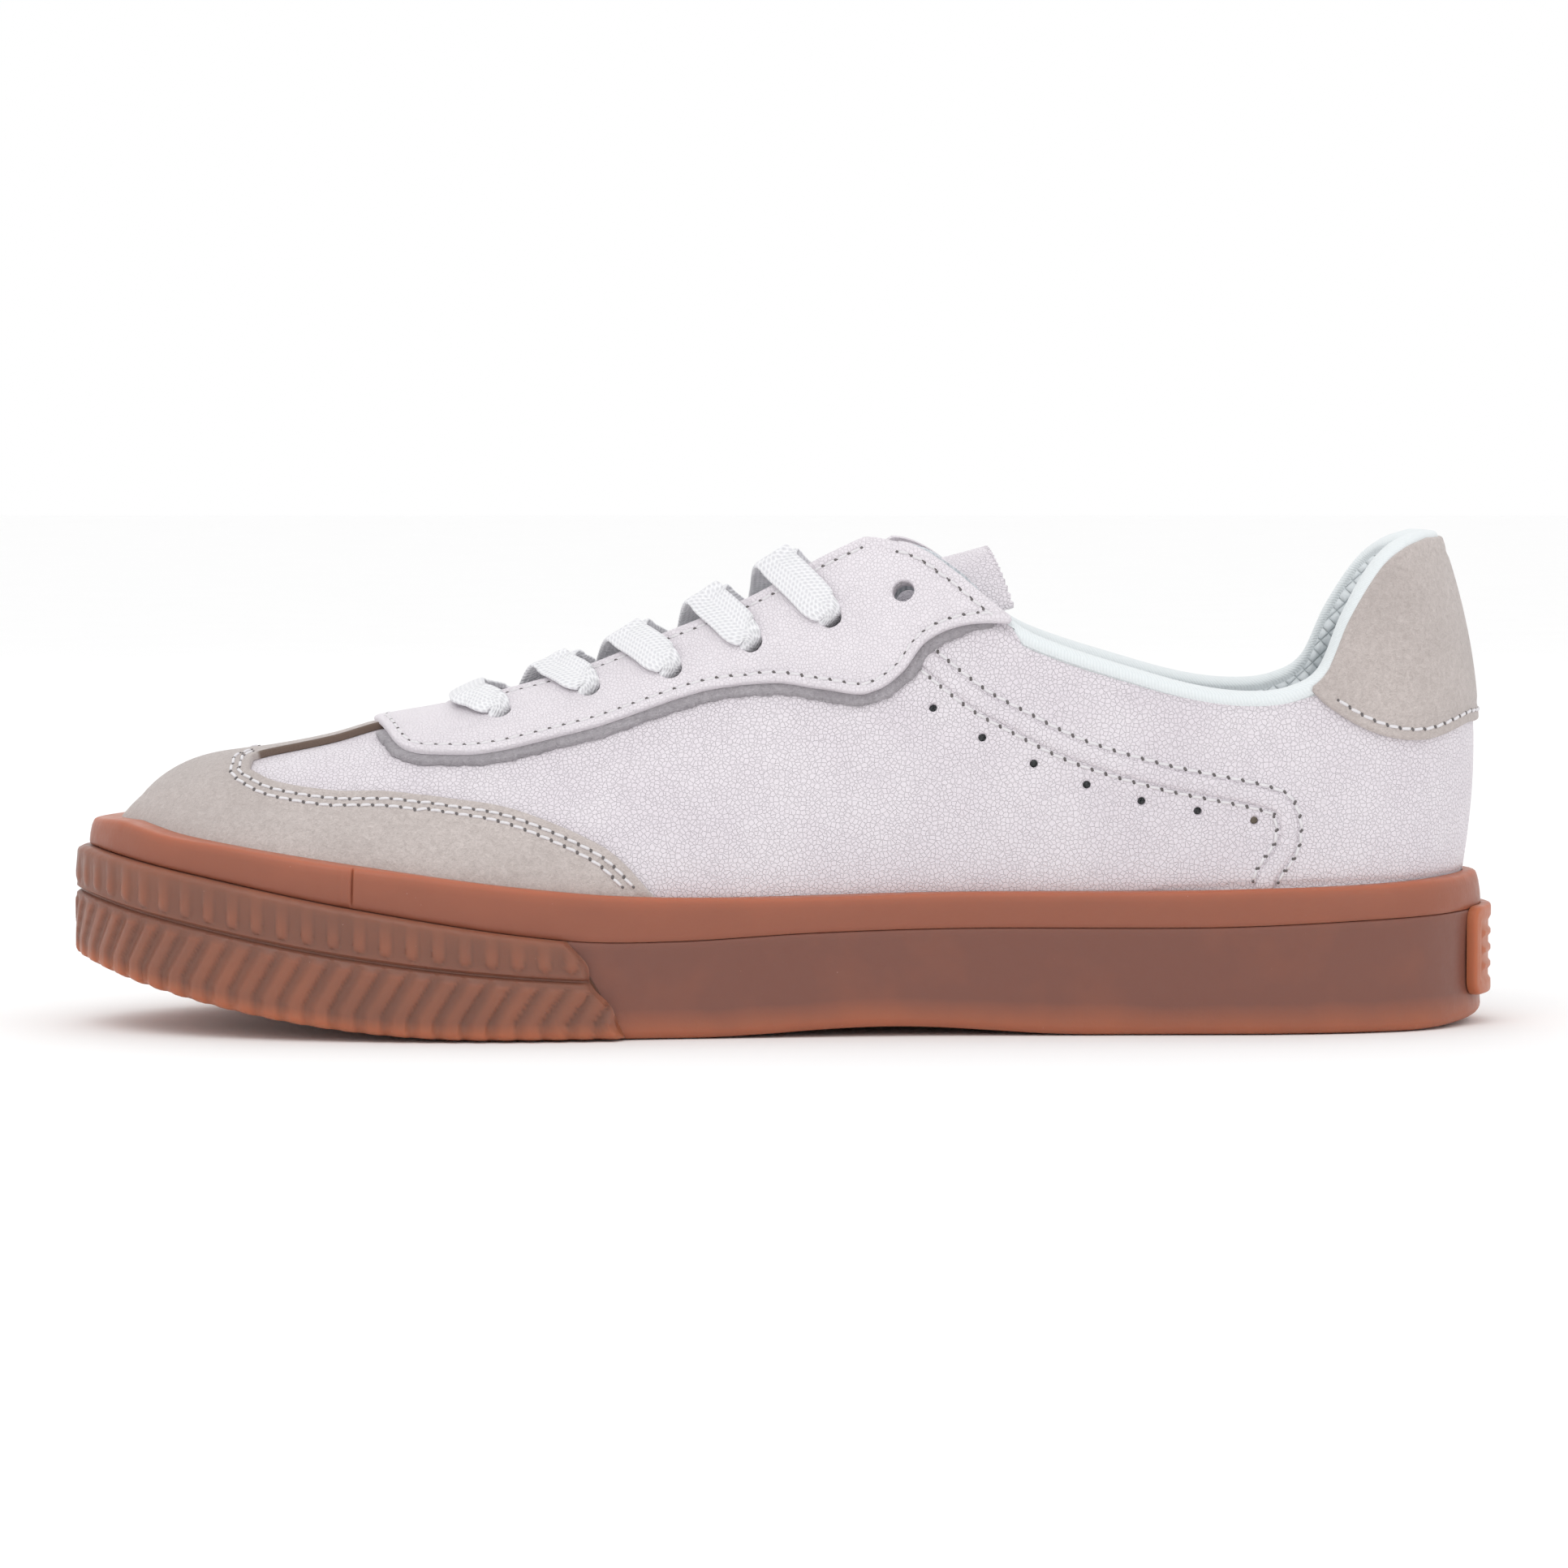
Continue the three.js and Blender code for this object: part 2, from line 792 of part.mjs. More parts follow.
function eyestayRegion(lowered) {
  const edge = spline2(EYESTAY_EDGE, 30).map(([x, z]) => [x, z - lowered]);
  return sidePrism([
    [edge[0][0] + lowered / 2, far.high],
    ...edge,
    [edge.at(-1)[0], far.high],
  ])
    .subtract(throatPrism)
    .subtract(abovePrism(0))
    .subtract(eyeletHoles);
}

function eyestay() {
  const inner = 2 * GAP + BACKING_THICKNESS;
  return shell(inner + EYESTAY_THICKNESS, inner).intersect(eyestayRegion(0));
}

function eyestayBacking(side) {
  const front = sidePrism([
    [far.heel, far.low],
    [80 * sx, far.low],
    [80 * sx, far.high],
    [far.heel, far.high],
  ]);
  return shell(GAP + BACKING_THICKNESS, GAP)
    .intersect(eyestayRegion(BACKING_SHOWS))
    .intersect(front)
    .intersect(halfSpace(side));
}

function heelPatch() {
  const region = sidePrism([
    [far.heel, far.high],
    [PATCH_EDGE[0][0], far.high],
    ...spline2(PATCH_EDGE, 12),
    [far.heel, PATCH_EDGE.at(-1)[1]],
  ]);
  return overlay.intersect(region).subtract(abovePrism(0));
}

// ---------------------------------------------------------------- inside the upper

function toePuff() {
  const start = 98 * sx;
  const region = sidePrism([
    [start, far.low],
    [far.toe, far.low],
    [far.toe, far.high],
    [start, far.high],
  ]);
  return stiffener.intersect(region);
}

const COUNTER_EDGE = sideDrawing([
  [-150, 61],
  [-130, 59],
  [-100, 48],
  [-80, 34],
  [-72, 10],
]);
const COLLAR_FOAM_EDGE = sideDrawing([
  [-150, 64],
  [-128, 62.5],
  [-98, 52],
  [-70, 54],
  [-44, 66],
]);

function heelCounter() {
  const region = sidePrism([
    [far.heel, far.low],
    [far.heel, COUNTER_EDGE[0][1]],
    ...COUNTER_EDGE,
    [COUNTER_EDGE.at(-1)[0], far.low],
  ]);
  return stiffener.intersect(region);
}

// How far the collar's padding pushes the lining in.
function padding(point) {
  const below = collarHeight(point.x) - 9 * sz - point.z;
  const round = Math.exp(-((below / (9 * sz)) ** 2));
  return COLLAR_PADDING * round * smoothstep(-point.x, 36 * sx, 60 * sx);
}
const collarLiningOut = (point) => INSIDE + LINING_THICKNESS - padding(point);
const collarLiningIn = (point) => INSIDE - padding(point);

function collarFoam() {
  const region = sidePrism([
    [far.heel, COLLAR_FOAM_EDGE[0][1]],
    ...spline2(COLLAR_FOAM_EDGE, 10),
    [COLLAR_FOAM_EDGE.at(-1)[0], far.high],
    [far.heel, far.high],
  ]);
  return shell(-LEATHER_THICKNESS - GAP, (point) => collarLiningOut(point) + GAP)
    .intersect(region)
    .subtract(throatPrism)
    .subtract(abovePrism(BINDING_HEIGHT + GAP));
}

const LINING_SPLIT = -40 * sx;
const liningRegion = (from, to) =>
  sidePrism([
    [from, far.low],
    [to, far.low],
    [to, far.high],
    [from, far.high],
  ]);

function vampLining() {
  return shell(INSIDE + LINING_THICKNESS, INSIDE)
    .intersect(liningRegion(LINING_SPLIT + GAP, far.toe))
    .subtract(throatCut(LINING_SETBACK))
    .subtract(abovePrism(BINDING_HEIGHT + GAP))
    .subtract(eyeletHoles);
}

function collarLining() {
  return shell(collarLiningOut, collarLiningIn)
    .intersect(liningRegion(far.heel, LINING_SPLIT))
    .subtract(abovePrism(BINDING_HEIGHT + GAP));
}

function collarBinding() {
  const band = abovePrism(BINDING_HEIGHT).subtract(abovePrism(0));
  const behindEyestay = liningRegion(far.heel, COLLAR_EDGE.at(-1)[0] - 1);
  return shell(0, collarLiningIn).intersect(band).intersect(behindEyestay);
}

// ---------------------------------------------------------------- tongue

const tongueTop = profile(
  sideDrawing([
    [-42.7, 100.4],
    [-21.5, 94.4],
    [-10, 89.2],
    [6, 81.6],
    [23, 73.8],
    [40, 65.8],
    [59, 60.2],
    [73, 58.2],
  ]),
);
// Half the tongue's width. It lies between the quarters, so it narrows as they move in.
const tongueHalf = profile(
  [
    [-42.7, 26.4],
    [-12, 24.2],
    [0, 25.4],
    [40, 25.9],
    [73, 24.4],
  ].map(([x, half]) => [x * sx, half * sy - UPPER_INSET]),
);
const tongueArch = profile(
  sideDrawing([
    [-42.7, 13],
    [0, 13],
    [40, 9],
    [73, 6.5],
  ]),
);
const TONGUE_BACK = -42.7 * sx;
const TONGUE_FRONT = 73 * sx;
const tongueSurface = (x, off) =>
  tongueTop(x) - tongueArch(x) * Math.abs(off / tongueHalf(x)) ** 2.4;

// A layer of the tongue between two depths below its top surface. inset is how far its
// outline stays inside the tongue's own.
function tongueLayer(from, to, inset) {
  const steps = 12;
  const across = 8;
  const sections = [];
  const outline = [];
  for (let step = 0; step <= steps; step++) {
    const x = THREE.MathUtils.lerp(TONGUE_BACK, TONGUE_FRONT, step / steps);
    const half = tongueHalf(x);
    const middle = ridgeY(x);
    const ys = Array.from({ length: across + 1 }, (_, i) => half * ((2 * i) / across - 1));
    const line = (depth) =>
      ys.map((y) => new THREE.Vector3(x, middle + y, tongueSurface(x, y) - depth));
    sections.push([...line(from), ...line(to).reverse()]);
    outline.push([x, middle, half - inset]);
  }
  const layer = sheet(sections, across + 1);
  if (inset === 0) return layer;
  const inside = planPrism(
    [
      ...outline.map(([x, middle, half]) => [x, middle - half]),
      ...outline.reverse().map(([x, middle, half]) => [x, middle + half]),
    ],
    far.low,
    far.high,
  );
  const ends = sidePrism([
    [TONGUE_BACK + inset, far.low],
    [TONGUE_FRONT - inset, far.low],
    [TONGUE_FRONT - inset, far.high],
    [TONGUE_BACK + inset, far.high],
  ]);
  return layer.intersect(inside).intersect(ends);
}

// A closed sheet: each section is its top line and then its bottom line, read backwards.
function sheet(sections, count) {
  const ring = 2 * count;
  const positions = sections.flat().flatMap((point) => [point.x, point.y, point.z]);
  const triangles = [];
  for (let s = 0; s + 1 < sections.length; s++) {
    for (let i = 0; i < ring; i++) {
      const a = s * ring + i;
      const b = s * ring + ((i + 1) % ring);
      triangles.push(a, a + ring, b, b, a + ring, b + ring);
    }
  }
  for (const [start, flip] of [
    [0, false],
    [(sections.length - 1) * ring, true],
  ]) {
    for (let i = 0; i + 1 < count; i++) {
      const a = start + i;
      const b = start + i + 1;
      const c = start + ring - 2 - i;
      const d = start + ring - 1 - i;
      const faces = [a, b, c, a, c, d];
      triangles.push(...(flip ? faces.reverse() : faces));
    }
  }
  return weld(positions, triangles);
}

const tongueLeather = () => tongueLayer(0, TONGUE_LEATHER, 0);
const foamFrom = TONGUE_LEATHER + GAP;
const tongueFoam = () => tongueLayer(foamFrom, foamFrom + TONGUE_FOAM, 3);
const tongueLiningFrom = foamFrom + TONGUE_FOAM + GAP;
const tongueLining = () => tongueLayer(tongueLiningFrom, tongueLiningFrom + TONGUE_LINING, 1);

// ---------------------------------------------------------------- lace

const LACED = 5;
const LACE_OVER = 2 * GAP + BACKING_THICKNESS + EYESTAY_THICKNESS + GAP + LACE_THICKNESS / 2;
const LACE_UNDER = INSIDE - GAP - LACE_THICKNESS / 2;

// A point by an eyelet, out from the leather, drawn towards the throat by share of the way.
function byEyelet(row, side, out, share = 0) {
  const [x, z] = EYELETS[row];
  const { p, t } = findOnDome(x, z, side);
  const edge = throatHalf(x) / Math.abs(domePoint(p, t).y - ridgeY(x));
  const place = t + (1 - t) * share * (1 - edge) * 1.25;
  return domePoint(p, place).addScaledVector(domeNormal(p, place), out);
}

// Where the tongue is under a point of the lace, the point is lifted clear of it.
function clearOfTongue(point) {
  const off = point.y - ridgeY(point.x);
  if (Math.abs(off) > tongueHalf(point.x)) return point;
  const lowest = tongueSurface(point.x, off) + 2 * GAP + LACE_THICKNESS / 2;
  return point.setZ(Math.max(point.z, lowest));
}

// One half of the lace, from the middle of the front bar to the top of its tail.
function halfLace(firstSide) {
  const points = [];
  let side = firstSide;
  const barX = EYELETS[0][0];
  const over0 = byEyelet(0, side, LACE_OVER + 1.6, 1);
  points.push(new THREE.Vector3(barX, ridgeY(barX), over0.z + 0.6));
  for (let row = 0; row < LACED; row++) {
    points.push(byEyelet(row, side, LACE_OVER + 1.8, 0.95));
    points.push(byEyelet(row, side, LACE_OVER + 1.4, 0.65));
    points.push(byEyelet(row, side, LACE_OVER + 0.8, 0.3));
    points.push(byEyelet(row, side, LACE_OVER + 0.6));
    if (row === LACED - 1) {
      points.push(byEyelet(row, side, 0));
      points.push(byEyelet(row, side, LACE_UNDER + 1.6));
      break;
    }
    points.push(byEyelet(row, side, LACE_UNDER - 0.6));
    points.push(byEyelet(row, side, LACE_UNDER - 0.8, 0.3));
    const under = byEyelet(row, side, LACE_UNDER - 0.8, 0.9);
    const rise = byEyelet(row + 1, -side, LACE_OVER + 1.8, 1.25);
    points.push(under);
    points.push(byEyelet(row, side, LACE_UNDER + 0.4, 1.25));
    const cross = points.at(-1).clone().lerp(rise, 0.5);
    cross.z += firstSide * (LACE_THICKNESS / 2 + GAP);
    points.push(cross);
    points.push(rise);
    side = -side;
  }
  return points.map(clearOfTongue);
}

// Sections of a flat cord along points. wide(i) is the way its width points.
function cordSections(points, width, thickness, wide) {
  return points.map((point, i) => {
    const before = points[Math.max(i - 1, 0)];
    const after = points[Math.min(i + 1, points.length - 1)];
    const along = after.clone().sub(before).normalize();
    const across = wide(i).clone();
    across.addScaledVector(along, -across.dot(along)).normalize();
    const up = along.clone().cross(across);
    return Array.from({ length: 8 }, (_, k) => {
      const turn = ((k + 0.5) * Math.PI) / 4;
      return point
        .clone()
        .addScaledVector(across, (Math.cos(turn) * width) / 2)
        .addScaledVector(up, (Math.sin(turn) * thickness) / 2);
    });
  });
}

function lace() {
  const route = [...halfLace(1).reverse(), ...halfLace(-1).slice(1)];
  const lengthways = (i) => {
    const x = route[i].x;
    return new THREE.Vector3(-1, 0, tongueTop(x - 1) - tongueTop(x)).normalize();
  };
  return loft(cordSections(route, LACE_WIDTH, LACE_THICKNESS, lengthways));
}

// The tails go down inside the quarters and lie forward on the insole, under the tongue. side is
// 1 for the medial tail and -1 for the lateral one. dx and dz are a place's distances from the
// eyelet, out its distance out from the leather, px its x and off its distance from the middle.
function tailRoute(side) {
  const row = LACED - 1;
  const start = byEyelet(row, side, LACE_UNDER + 1.3);
  const [x, z] = EYELETS[row];
  const byWall = (dx, dz, out) => {
    const { p, t } = findOnDome(x + dx * sx, z + dz * sz, side);
    return layerPoint(p, t, out);
  };
  const onInsole = (px, off) => {
    const middle = ridgeY(px * sx);
    return new THREE.Vector3(
      px * sx,
      middle + side * off * sy,
      insoleTop(px * sx) + GAP + LACE_THICKNESS / 2,
    );
  };
  return [
    start,
    byEyelet(row, side, LACE_UNDER - 1.2),
    byWall(-1, -5, INSIDE - 1.5),
    byWall(-3, -13, INSIDE - 1.2),
    byWall(-5, -27, INSIDE - 1.3),
    byWall(-5, -38, INSIDE - 1.5),
    byWall(-3, -47, INSIDE - 2.6),
    byWall(0, -53, INSIDE - 5),
    onInsole(-1, 19.5),
    onInsole(8, 17),
    onInsole(18, 16),
    onInsole(30, 17),
    onInsole(42, 19),
    onInsole(54, 20),
    onInsole(66, 19),
    onInsole(78, 16),
    onInsole(88, 13),
  ];
}

const tailSections = (points) => {
  const wideAt = (i) => {
    if (points[i].z < insoleTop(points[i].x) + 3) return new THREE.Vector3(0, 1, 0.01);
    return new THREE.Vector3(1, 0, 0.2);
  };
  return cordSections(points, LACE_WIDTH, LACE_THICKNESS, wideAt);
};
const laceTail = (side) => loft(tailSections(tailRoute(side)));

function aglet(side) {
  const route = tailRoute(side);
  const end = route.at(-1);
  const along = end.clone().sub(route.at(-2)).normalize();
  const from = end.clone().addScaledVector(along, GAP);
  from.z = insoleTop(from.x) + GAP + AGLET_RADIUS;
  const to = from.clone().addScaledVector(along, AGLET_LENGTH);
  to.z = insoleTop(to.x) + GAP + AGLET_RADIUS;
  const axis = to.clone().sub(from);
  const geometry = new THREE.CylinderGeometry(AGLET_RADIUS, AGLET_RADIUS, axis.length(), 10);
  geometry.applyQuaternion(
    new THREE.Quaternion().setFromUnitVectors(
      new THREE.Vector3(0, 1, 0),
      axis.clone().normalize(),
    ),
  );
  geometry.translate(...from.add(to).divideScalar(2).toArray());
  return solidOf(geometry);
}

// ---------------------------------------------------------------- assembly

const GUM = 0xa86b52;
const WHITE_LEATHER = 0xebe6ea;
const SUEDE = 0xc3bab4;
const RAW_EDGE = 0xb0aab0;
const TEXTILE = 0xe4eaf2;
const WHITE_COTTON = 0xf7f7fa;
const FOAM = 0xe6dfae;
const FIBRE = 0x9c8a70;

// Cuts leave slivers; edges shorter than this are taken out.
const SLIVER = 0.03;

const shoe = new THREE.Group();
function place(name, solid, color, roughness) {
  const { vertProperties, triVerts } = solid.simplify(SLIVER).getMesh();
  const geometry = new THREE.BufferGeometry();
  geometry.setAttribute('position', new THREE.BufferAttribute(vertProperties, 3));
  geometry.setIndex(new THREE.BufferAttribute(triVerts, 1));
  geometry.computeVertexNormals();
  const material = new THREE.MeshStandardMaterial({ color, roughness, metalness: 0 });
  const mesh = new THREE.Mesh(geometry, material);
  mesh.name = name;
  shoe.add(mesh);
}

place('cupsole', cupsole(), GUM, 0.6);
place('foxing_strip', foxingStrip(), GUM, 0.6);
place('toe_bumper', toeBumper(), GUM, 0.6);
place('heel_label', heelLabel(), GUM, 0.6);
place('midsole_filler', midsoleFiller(), FOAM, 0.9);
place('insole_board', insoleBoard(), FIBRE, 0.9);
place('insole_foam', insoleFoam(), FOAM, 0.9);
place('insole_cover', insoleCover(), TEXTILE, 0.9);
place('vamp', vamp(), WHITE_LEATHER, 0.5);
place('rear_quarter_medial', rearQuarter(1), WHITE_LEATHER, 0.5);
place('rear_quarter_lateral', rearQuarter(-1), WHITE_LEATHER, 0.5);
place('toe_overlay', toeOverlay(), SUEDE, 0.95);
place('eyestay', eyestay(), WHITE_LEATHER, 0.5);
place('eyestay_backing_medial', eyestayBacking(1), RAW_EDGE, 0.9);
place('eyestay_backing_lateral', eyestayBacking(-1), RAW_EDGE, 0.9);
place('heel_patch', heelPatch(), SUEDE, 0.95);
place('toe_puff', toePuff(), FIBRE, 0.9);
place('heel_counter', heelCounter(), FIBRE, 0.9);
place('collar_foam', collarFoam(), FOAM, 0.9);
place('vamp_lining', vampLining(), TEXTILE, 0.9);
place('collar_lining', collarLining(), TEXTILE, 0.9);
place('collar_binding', collarBinding(), TEXTILE, 0.9);
place('tongue_leather', tongueLeather(), WHITE_LEATHER, 0.5);
place('tongue_foam', tongueFoam(), FOAM, 0.9);
place('tongue_lining', tongueLining(), TEXTILE, 0.9);
place('lace', lace(), WHITE_COTTON, 0.9);
place('lace_tail_medial', laceTail(1), WHITE_COTTON, 0.9);
place('lace_tail_lateral', laceTail(-1), WHITE_COTTON, 0.9);
place('aglet_medial', aglet(1), WHITE_COTTON, 0.3);
place('aglet_lateral', aglet(-1), WHITE_COTTON, 0.3);

// The origin is the middle of the shoe's box at ground level.
const box = new THREE.Box3().setFromObject(shoe);
const middle = box.getCenter(new THREE.Vector3());
shoe.position.set(-middle.x, -middle.y, -box.min.z);

export default shoe;
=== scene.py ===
"""A low white leather court shoe with a gum rubber cupsole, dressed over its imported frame.

Shapes are worked out in millimetres in the shoe's own axes (+X toe, +Y inner side, +Z up)
and turned into metres in the frame's place by world().
"""
import json
import math

import bmesh
import bpy
import numpy as np
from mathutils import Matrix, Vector, geometry, kdtree
from mathutils.bvhtree import BVHTree

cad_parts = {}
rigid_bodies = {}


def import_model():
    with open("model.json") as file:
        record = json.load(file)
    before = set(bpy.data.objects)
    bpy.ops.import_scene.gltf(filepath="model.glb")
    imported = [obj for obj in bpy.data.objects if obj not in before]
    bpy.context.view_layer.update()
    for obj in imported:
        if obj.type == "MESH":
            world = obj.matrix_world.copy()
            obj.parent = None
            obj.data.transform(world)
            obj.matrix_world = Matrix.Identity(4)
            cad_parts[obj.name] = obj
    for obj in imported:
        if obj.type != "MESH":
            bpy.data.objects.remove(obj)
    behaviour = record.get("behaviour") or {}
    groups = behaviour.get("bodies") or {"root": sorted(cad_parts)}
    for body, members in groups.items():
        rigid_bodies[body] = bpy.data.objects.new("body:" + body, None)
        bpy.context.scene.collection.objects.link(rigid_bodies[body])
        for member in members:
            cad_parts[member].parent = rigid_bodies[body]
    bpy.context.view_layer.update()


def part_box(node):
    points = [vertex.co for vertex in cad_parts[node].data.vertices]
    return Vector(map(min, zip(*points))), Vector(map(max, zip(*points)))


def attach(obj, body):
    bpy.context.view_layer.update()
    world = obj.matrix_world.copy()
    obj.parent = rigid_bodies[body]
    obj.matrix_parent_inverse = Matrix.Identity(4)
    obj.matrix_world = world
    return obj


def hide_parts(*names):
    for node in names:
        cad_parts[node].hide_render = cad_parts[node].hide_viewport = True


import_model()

# ------------------------------------------------------------------ sizes, in millimetres

TREAD = 5.2
WALL = 4.5
OVERLAY = 1.3
GAP = 0.3
LEATHER = 1.4
STIFFENER = 1.5
LINING = 0.9
UPPER_INSET = WALL + OVERLAY + 2 * GAP
INSIDE = -(LEATHER + STIFFENER + LINING + 3 * GAP)
STITCH_PITCH = 3.0
EYELET_RADIUS = 2.35
LACED = 5
LACE_WIDTH = 8.2
LACE_THICKNESS = 1.45
FOLDED_WIDTH = 3.7
FOLDED_DEPTH = 2.1
BOARD_THICKNESS = 1.6
FOAM_THICKNESS = 4
COVER_THICKNESS = 0.8
WELT_HALF = 1.3
PERFORATION_RADIUS = 0.85

# Where each layer's two faces lie, out from the vamp's outside.
MAIN_LAYER = (-LEATHER, 0.0)
EYESTAY_LAYER = (1.2, 2.5)
BACKING_LAYER = (0.15, 1.15)
SUEDE_LAYER = (0.1, 1.6)
PATCH_LAYER = (0.1, 1.3)
LINING_LAYER = (INSIDE + LINING, INSIDE)
STIFFENER_LAYER = (-LEATHER - GAP, -LEATHER - GAP - STIFFENER)
PAD_LAYER = (-LEATHER - GAP, INSIDE + LINING + GAP)


def unit(vectors):
    return vectors / np.linalg.norm(vectors, axis=-1, keepdims=True)


def run_along(line):
    """How far along a line each of its points is."""
    return np.concatenate([[0], np.linalg.norm(np.diff(line, axis=0), axis=1).cumsum()])


def read_at(at, run, line):
    """A line's rows at distances along it."""
    return np.stack([np.interp(at, run, column) for column in line.T], 1)


def bell(x, middle, width):
    return np.exp(-(((x - middle) / width) ** 2))


def smoothstep(value, low, high):
    u = np.clip((value - low) / (high - low), 0, 1)
    return u * u * (3 - 2 * u)


def rounding(gap, radius):
    """How far a rounded edge is drawn in at a gap from its end."""
    return radius * (1 - np.sqrt(np.maximum(1 - np.maximum(1 - gap / radius, 0) ** 2, 0)))


def eased(values):
    """Values along a line, evened out over nine of its points."""
    return np.convolve(np.pad(values, 4, mode="edge"), np.ones(9) / 9, "valid")


def profile(points):
    """A smooth function through (x, value) pairs in rising x, level beyond its ends."""
    xs, vs = np.array(points, float).T
    low = np.maximum(np.arange(len(xs)) - 1, 0)
    high = np.minimum(np.arange(len(xs)) + 1, len(xs) - 1)
    slopes = (vs[high] - vs[low]) / (xs[high] - xs[low])

    def value(x):
        x = np.asarray(x, float)
        i = np.clip(np.searchsorted(xs, x, side="right") - 1, 0, len(xs) - 2)
        width = xs[i + 1] - xs[i]
        u = np.clip((x - xs[i]) / width, 0, 1)
        rise = (3 - 2 * u) * u * u
        bend = u * (1 - u) ** 2 * slopes[i] - u * u * (1 - u) * slopes[i + 1]
        return vs[i] + (vs[i + 1] - vs[i]) * rise + bend * width

    return value


WALL_PLAN = [
    (-144, 14, -15), (-131.5, 26.5, -27), (-107, 33.5, -35), (-68, 35, -38.5), (-25, 36.3, -45),
    (18, 42, -51.5), (58, 47.4, -52.3), (90, 45.3, -46), (116, 38.5, -34.5), (135.5, 26.5, -18),
]
HEEL_TIP = (-148.3, -0.5)
TOE_TIP = (146.8, 5.5)
CONTROLS = np.array(
    [HEEL_TIP]
    + [(x, medial) for x, medial, _ in WALL_PLAN]
    + [TOE_TIP]
    + [(x, lateral) for x, _, lateral in reversed(WALL_PLAN)]
)


def wall(p, out=0.0):
    """Points round the rubber wall in plan, moved outwards by out."""
    p = np.asarray(p, float)
    s = (p % 1.0) * len(CONTROLS)
    i = np.floor(s).astype(int) % len(CONTROLS)
    u = (s - np.floor(s))[..., None]
    a, b, c, d = (CONTROLS[(i + k) % len(CONTROLS)] for k in (-1, 0, 1, 2))
    m0, m1 = (c - a) / 2, (d - b) / 2
    place = (2 * b - 2 * c + m0 + m1) * u**3 + (3 * c - 3 * b - 2 * m0 - m1) * u**2
    place = place + m0 * u + b
    along = 3 * (2 * b - 2 * c + m0 + m1) * u**2
    along = along + 2 * (3 * c - 3 * b - 2 * m0 - m1) * u + m0
    along = unit(along)
    outward = np.stack([-along[..., 1], along[..., 0]], -1)
    return place + outward * np.asarray(out, float)[..., None]


rim_height = profile(
    [(-147, 32), (-123, 30.8), (-90, 29.9), (-39, 29.7), (23, 29), (55, 31.5), (88, 35.7)]
    + [(128, 41.2), (140, 43.6)]
)
ledge_height = profile(
    [(-147, 24.4), (-123, 23.5), (-89, 22.3), (-39, 22.3), (-5.5, 21.5), (23, 20.1)]
    + [(44.7, 20.6), (88, 27), (120, 33), (145, 37.7)]
)
filler_depth = profile([(-60, 12), (-10, 9.5), (40, 7)])
ridge_y = profile([(-110, -0.5), (-50, -2.8), (0, -3.6), (60, -1.6), (90, 1), (112, 3.5)])
ridge_height = profile(
    [(-106, 150), (-80, 147), (-50, 135), (-21.5, 118.3), (-10, 110.5), (6, 97.5)]
    + [(23, 86.5), (40, 76.3), (59, 69.2), (70, 65.2), (85, 62.4), (95, 59.5), (112, 55.8)]
)
fullness = profile(
    [(-106, 2.5), (-80, 2.35), (-50, 2.05), (-20, 1.8), (25, 1.8), (60, 1.95), (85, 2.25)]
    + [(110, 2.5)]
)
swell = profile([(-145, 5.5), (-100, 4.5), (-40, 3.5), (40, 3), (146, 2.5)])


def ground(x):
    """The height of the tread's underside above the floor."""
    x = np.asarray(x, float)
    toe = 15 * (np.maximum(x - 60, 0) / 88.7) ** 2
    heel = 1.8 * (np.maximum(-130 - x, 0) / 18) ** 2
    turn = np.clip((x + 65) / 85, 0, 1)
    return toe + heel + 0.9 * (1 - np.cos(2 * np.pi * turn))


def feather(x):
    return ground(x) + TREAD + 2 * GAP + filler_depth(x)


def ridge_place(x):
    """Where along the ridge the leather over x runs up to, as the ends close in."""
    toe = 90 + 22 * (1 - np.exp((90 - np.maximum(x, 90)) / 25))
    heel = -85 - 25 * (1 - np.exp((np.minimum(x, -85) + 85) / 28))
    return np.where(x > 90, toe, np.where(x < -85, heel, x))


def ridge_point(x):
    return np.stack([x, ridge_y(x)], -1)


def dome(p, t):
    """Points of the leather's outside: p round the shoe, t from the feather line to the ridge."""
    p, t = np.broadcast_arrays(np.asarray(p, float), np.asarray(t, float))
    foot = wall(p, -UPPER_INSET)
    x = ridge_place(wall(p)[..., 0])
    ridge = ridge_point(x)
    top = ridge_height(x)
    power = 2 / fullness(x)
    up = np.sin(np.clip(t, 0, 1) * np.pi / 2) ** power
    across = np.maximum(np.cos(np.clip(t, 0, 1) * np.pi / 2), 0) ** power
    reach = foot - ridge
    push = swell(foot[..., 0]) * np.sin(np.pi * np.minimum(up / 0.7, 1))
    plan = ridge + reach * across[..., None] + unit(reach) * push[..., None]
    base = feather(foot[..., 0])
    return np.concatenate([plan, (base + (top - base) * up)[..., None]], -1)


def dome_normal(p, t):
    p, t = np.broadcast_arrays(np.asarray(p, float), np.asarray(t, float))
    t = np.clip(t, 0.0, 0.985)
    dp = dome(p + 0.002, t) - dome(p - 0.002, t)
    dt = dome(p, t + 0.004) - dome(p, np.maximum(t - 0.006, 0))
    return unit(np.cross(dt, dp))


STATIONS = np.arange(2 * len(CONTROLS)) / (2 * len(CONTROLS))
_own = wall(STATIONS)
_low, _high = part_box("cupsole")
SHIFT = np.array(
    [(_low[k] + _high[k]) * 500 - (_own[:, k].min() + _own[:, k].max()) / 2 for k in (0, 1)]
    + [0.0]
)


def world(points):
    """Millimetres in the shoe's axes to metres in the frame."""
    return (np.asarray(points, float) + SHIFT) * 0.001


# ------------------------------------------------------------------ the upper laid flat

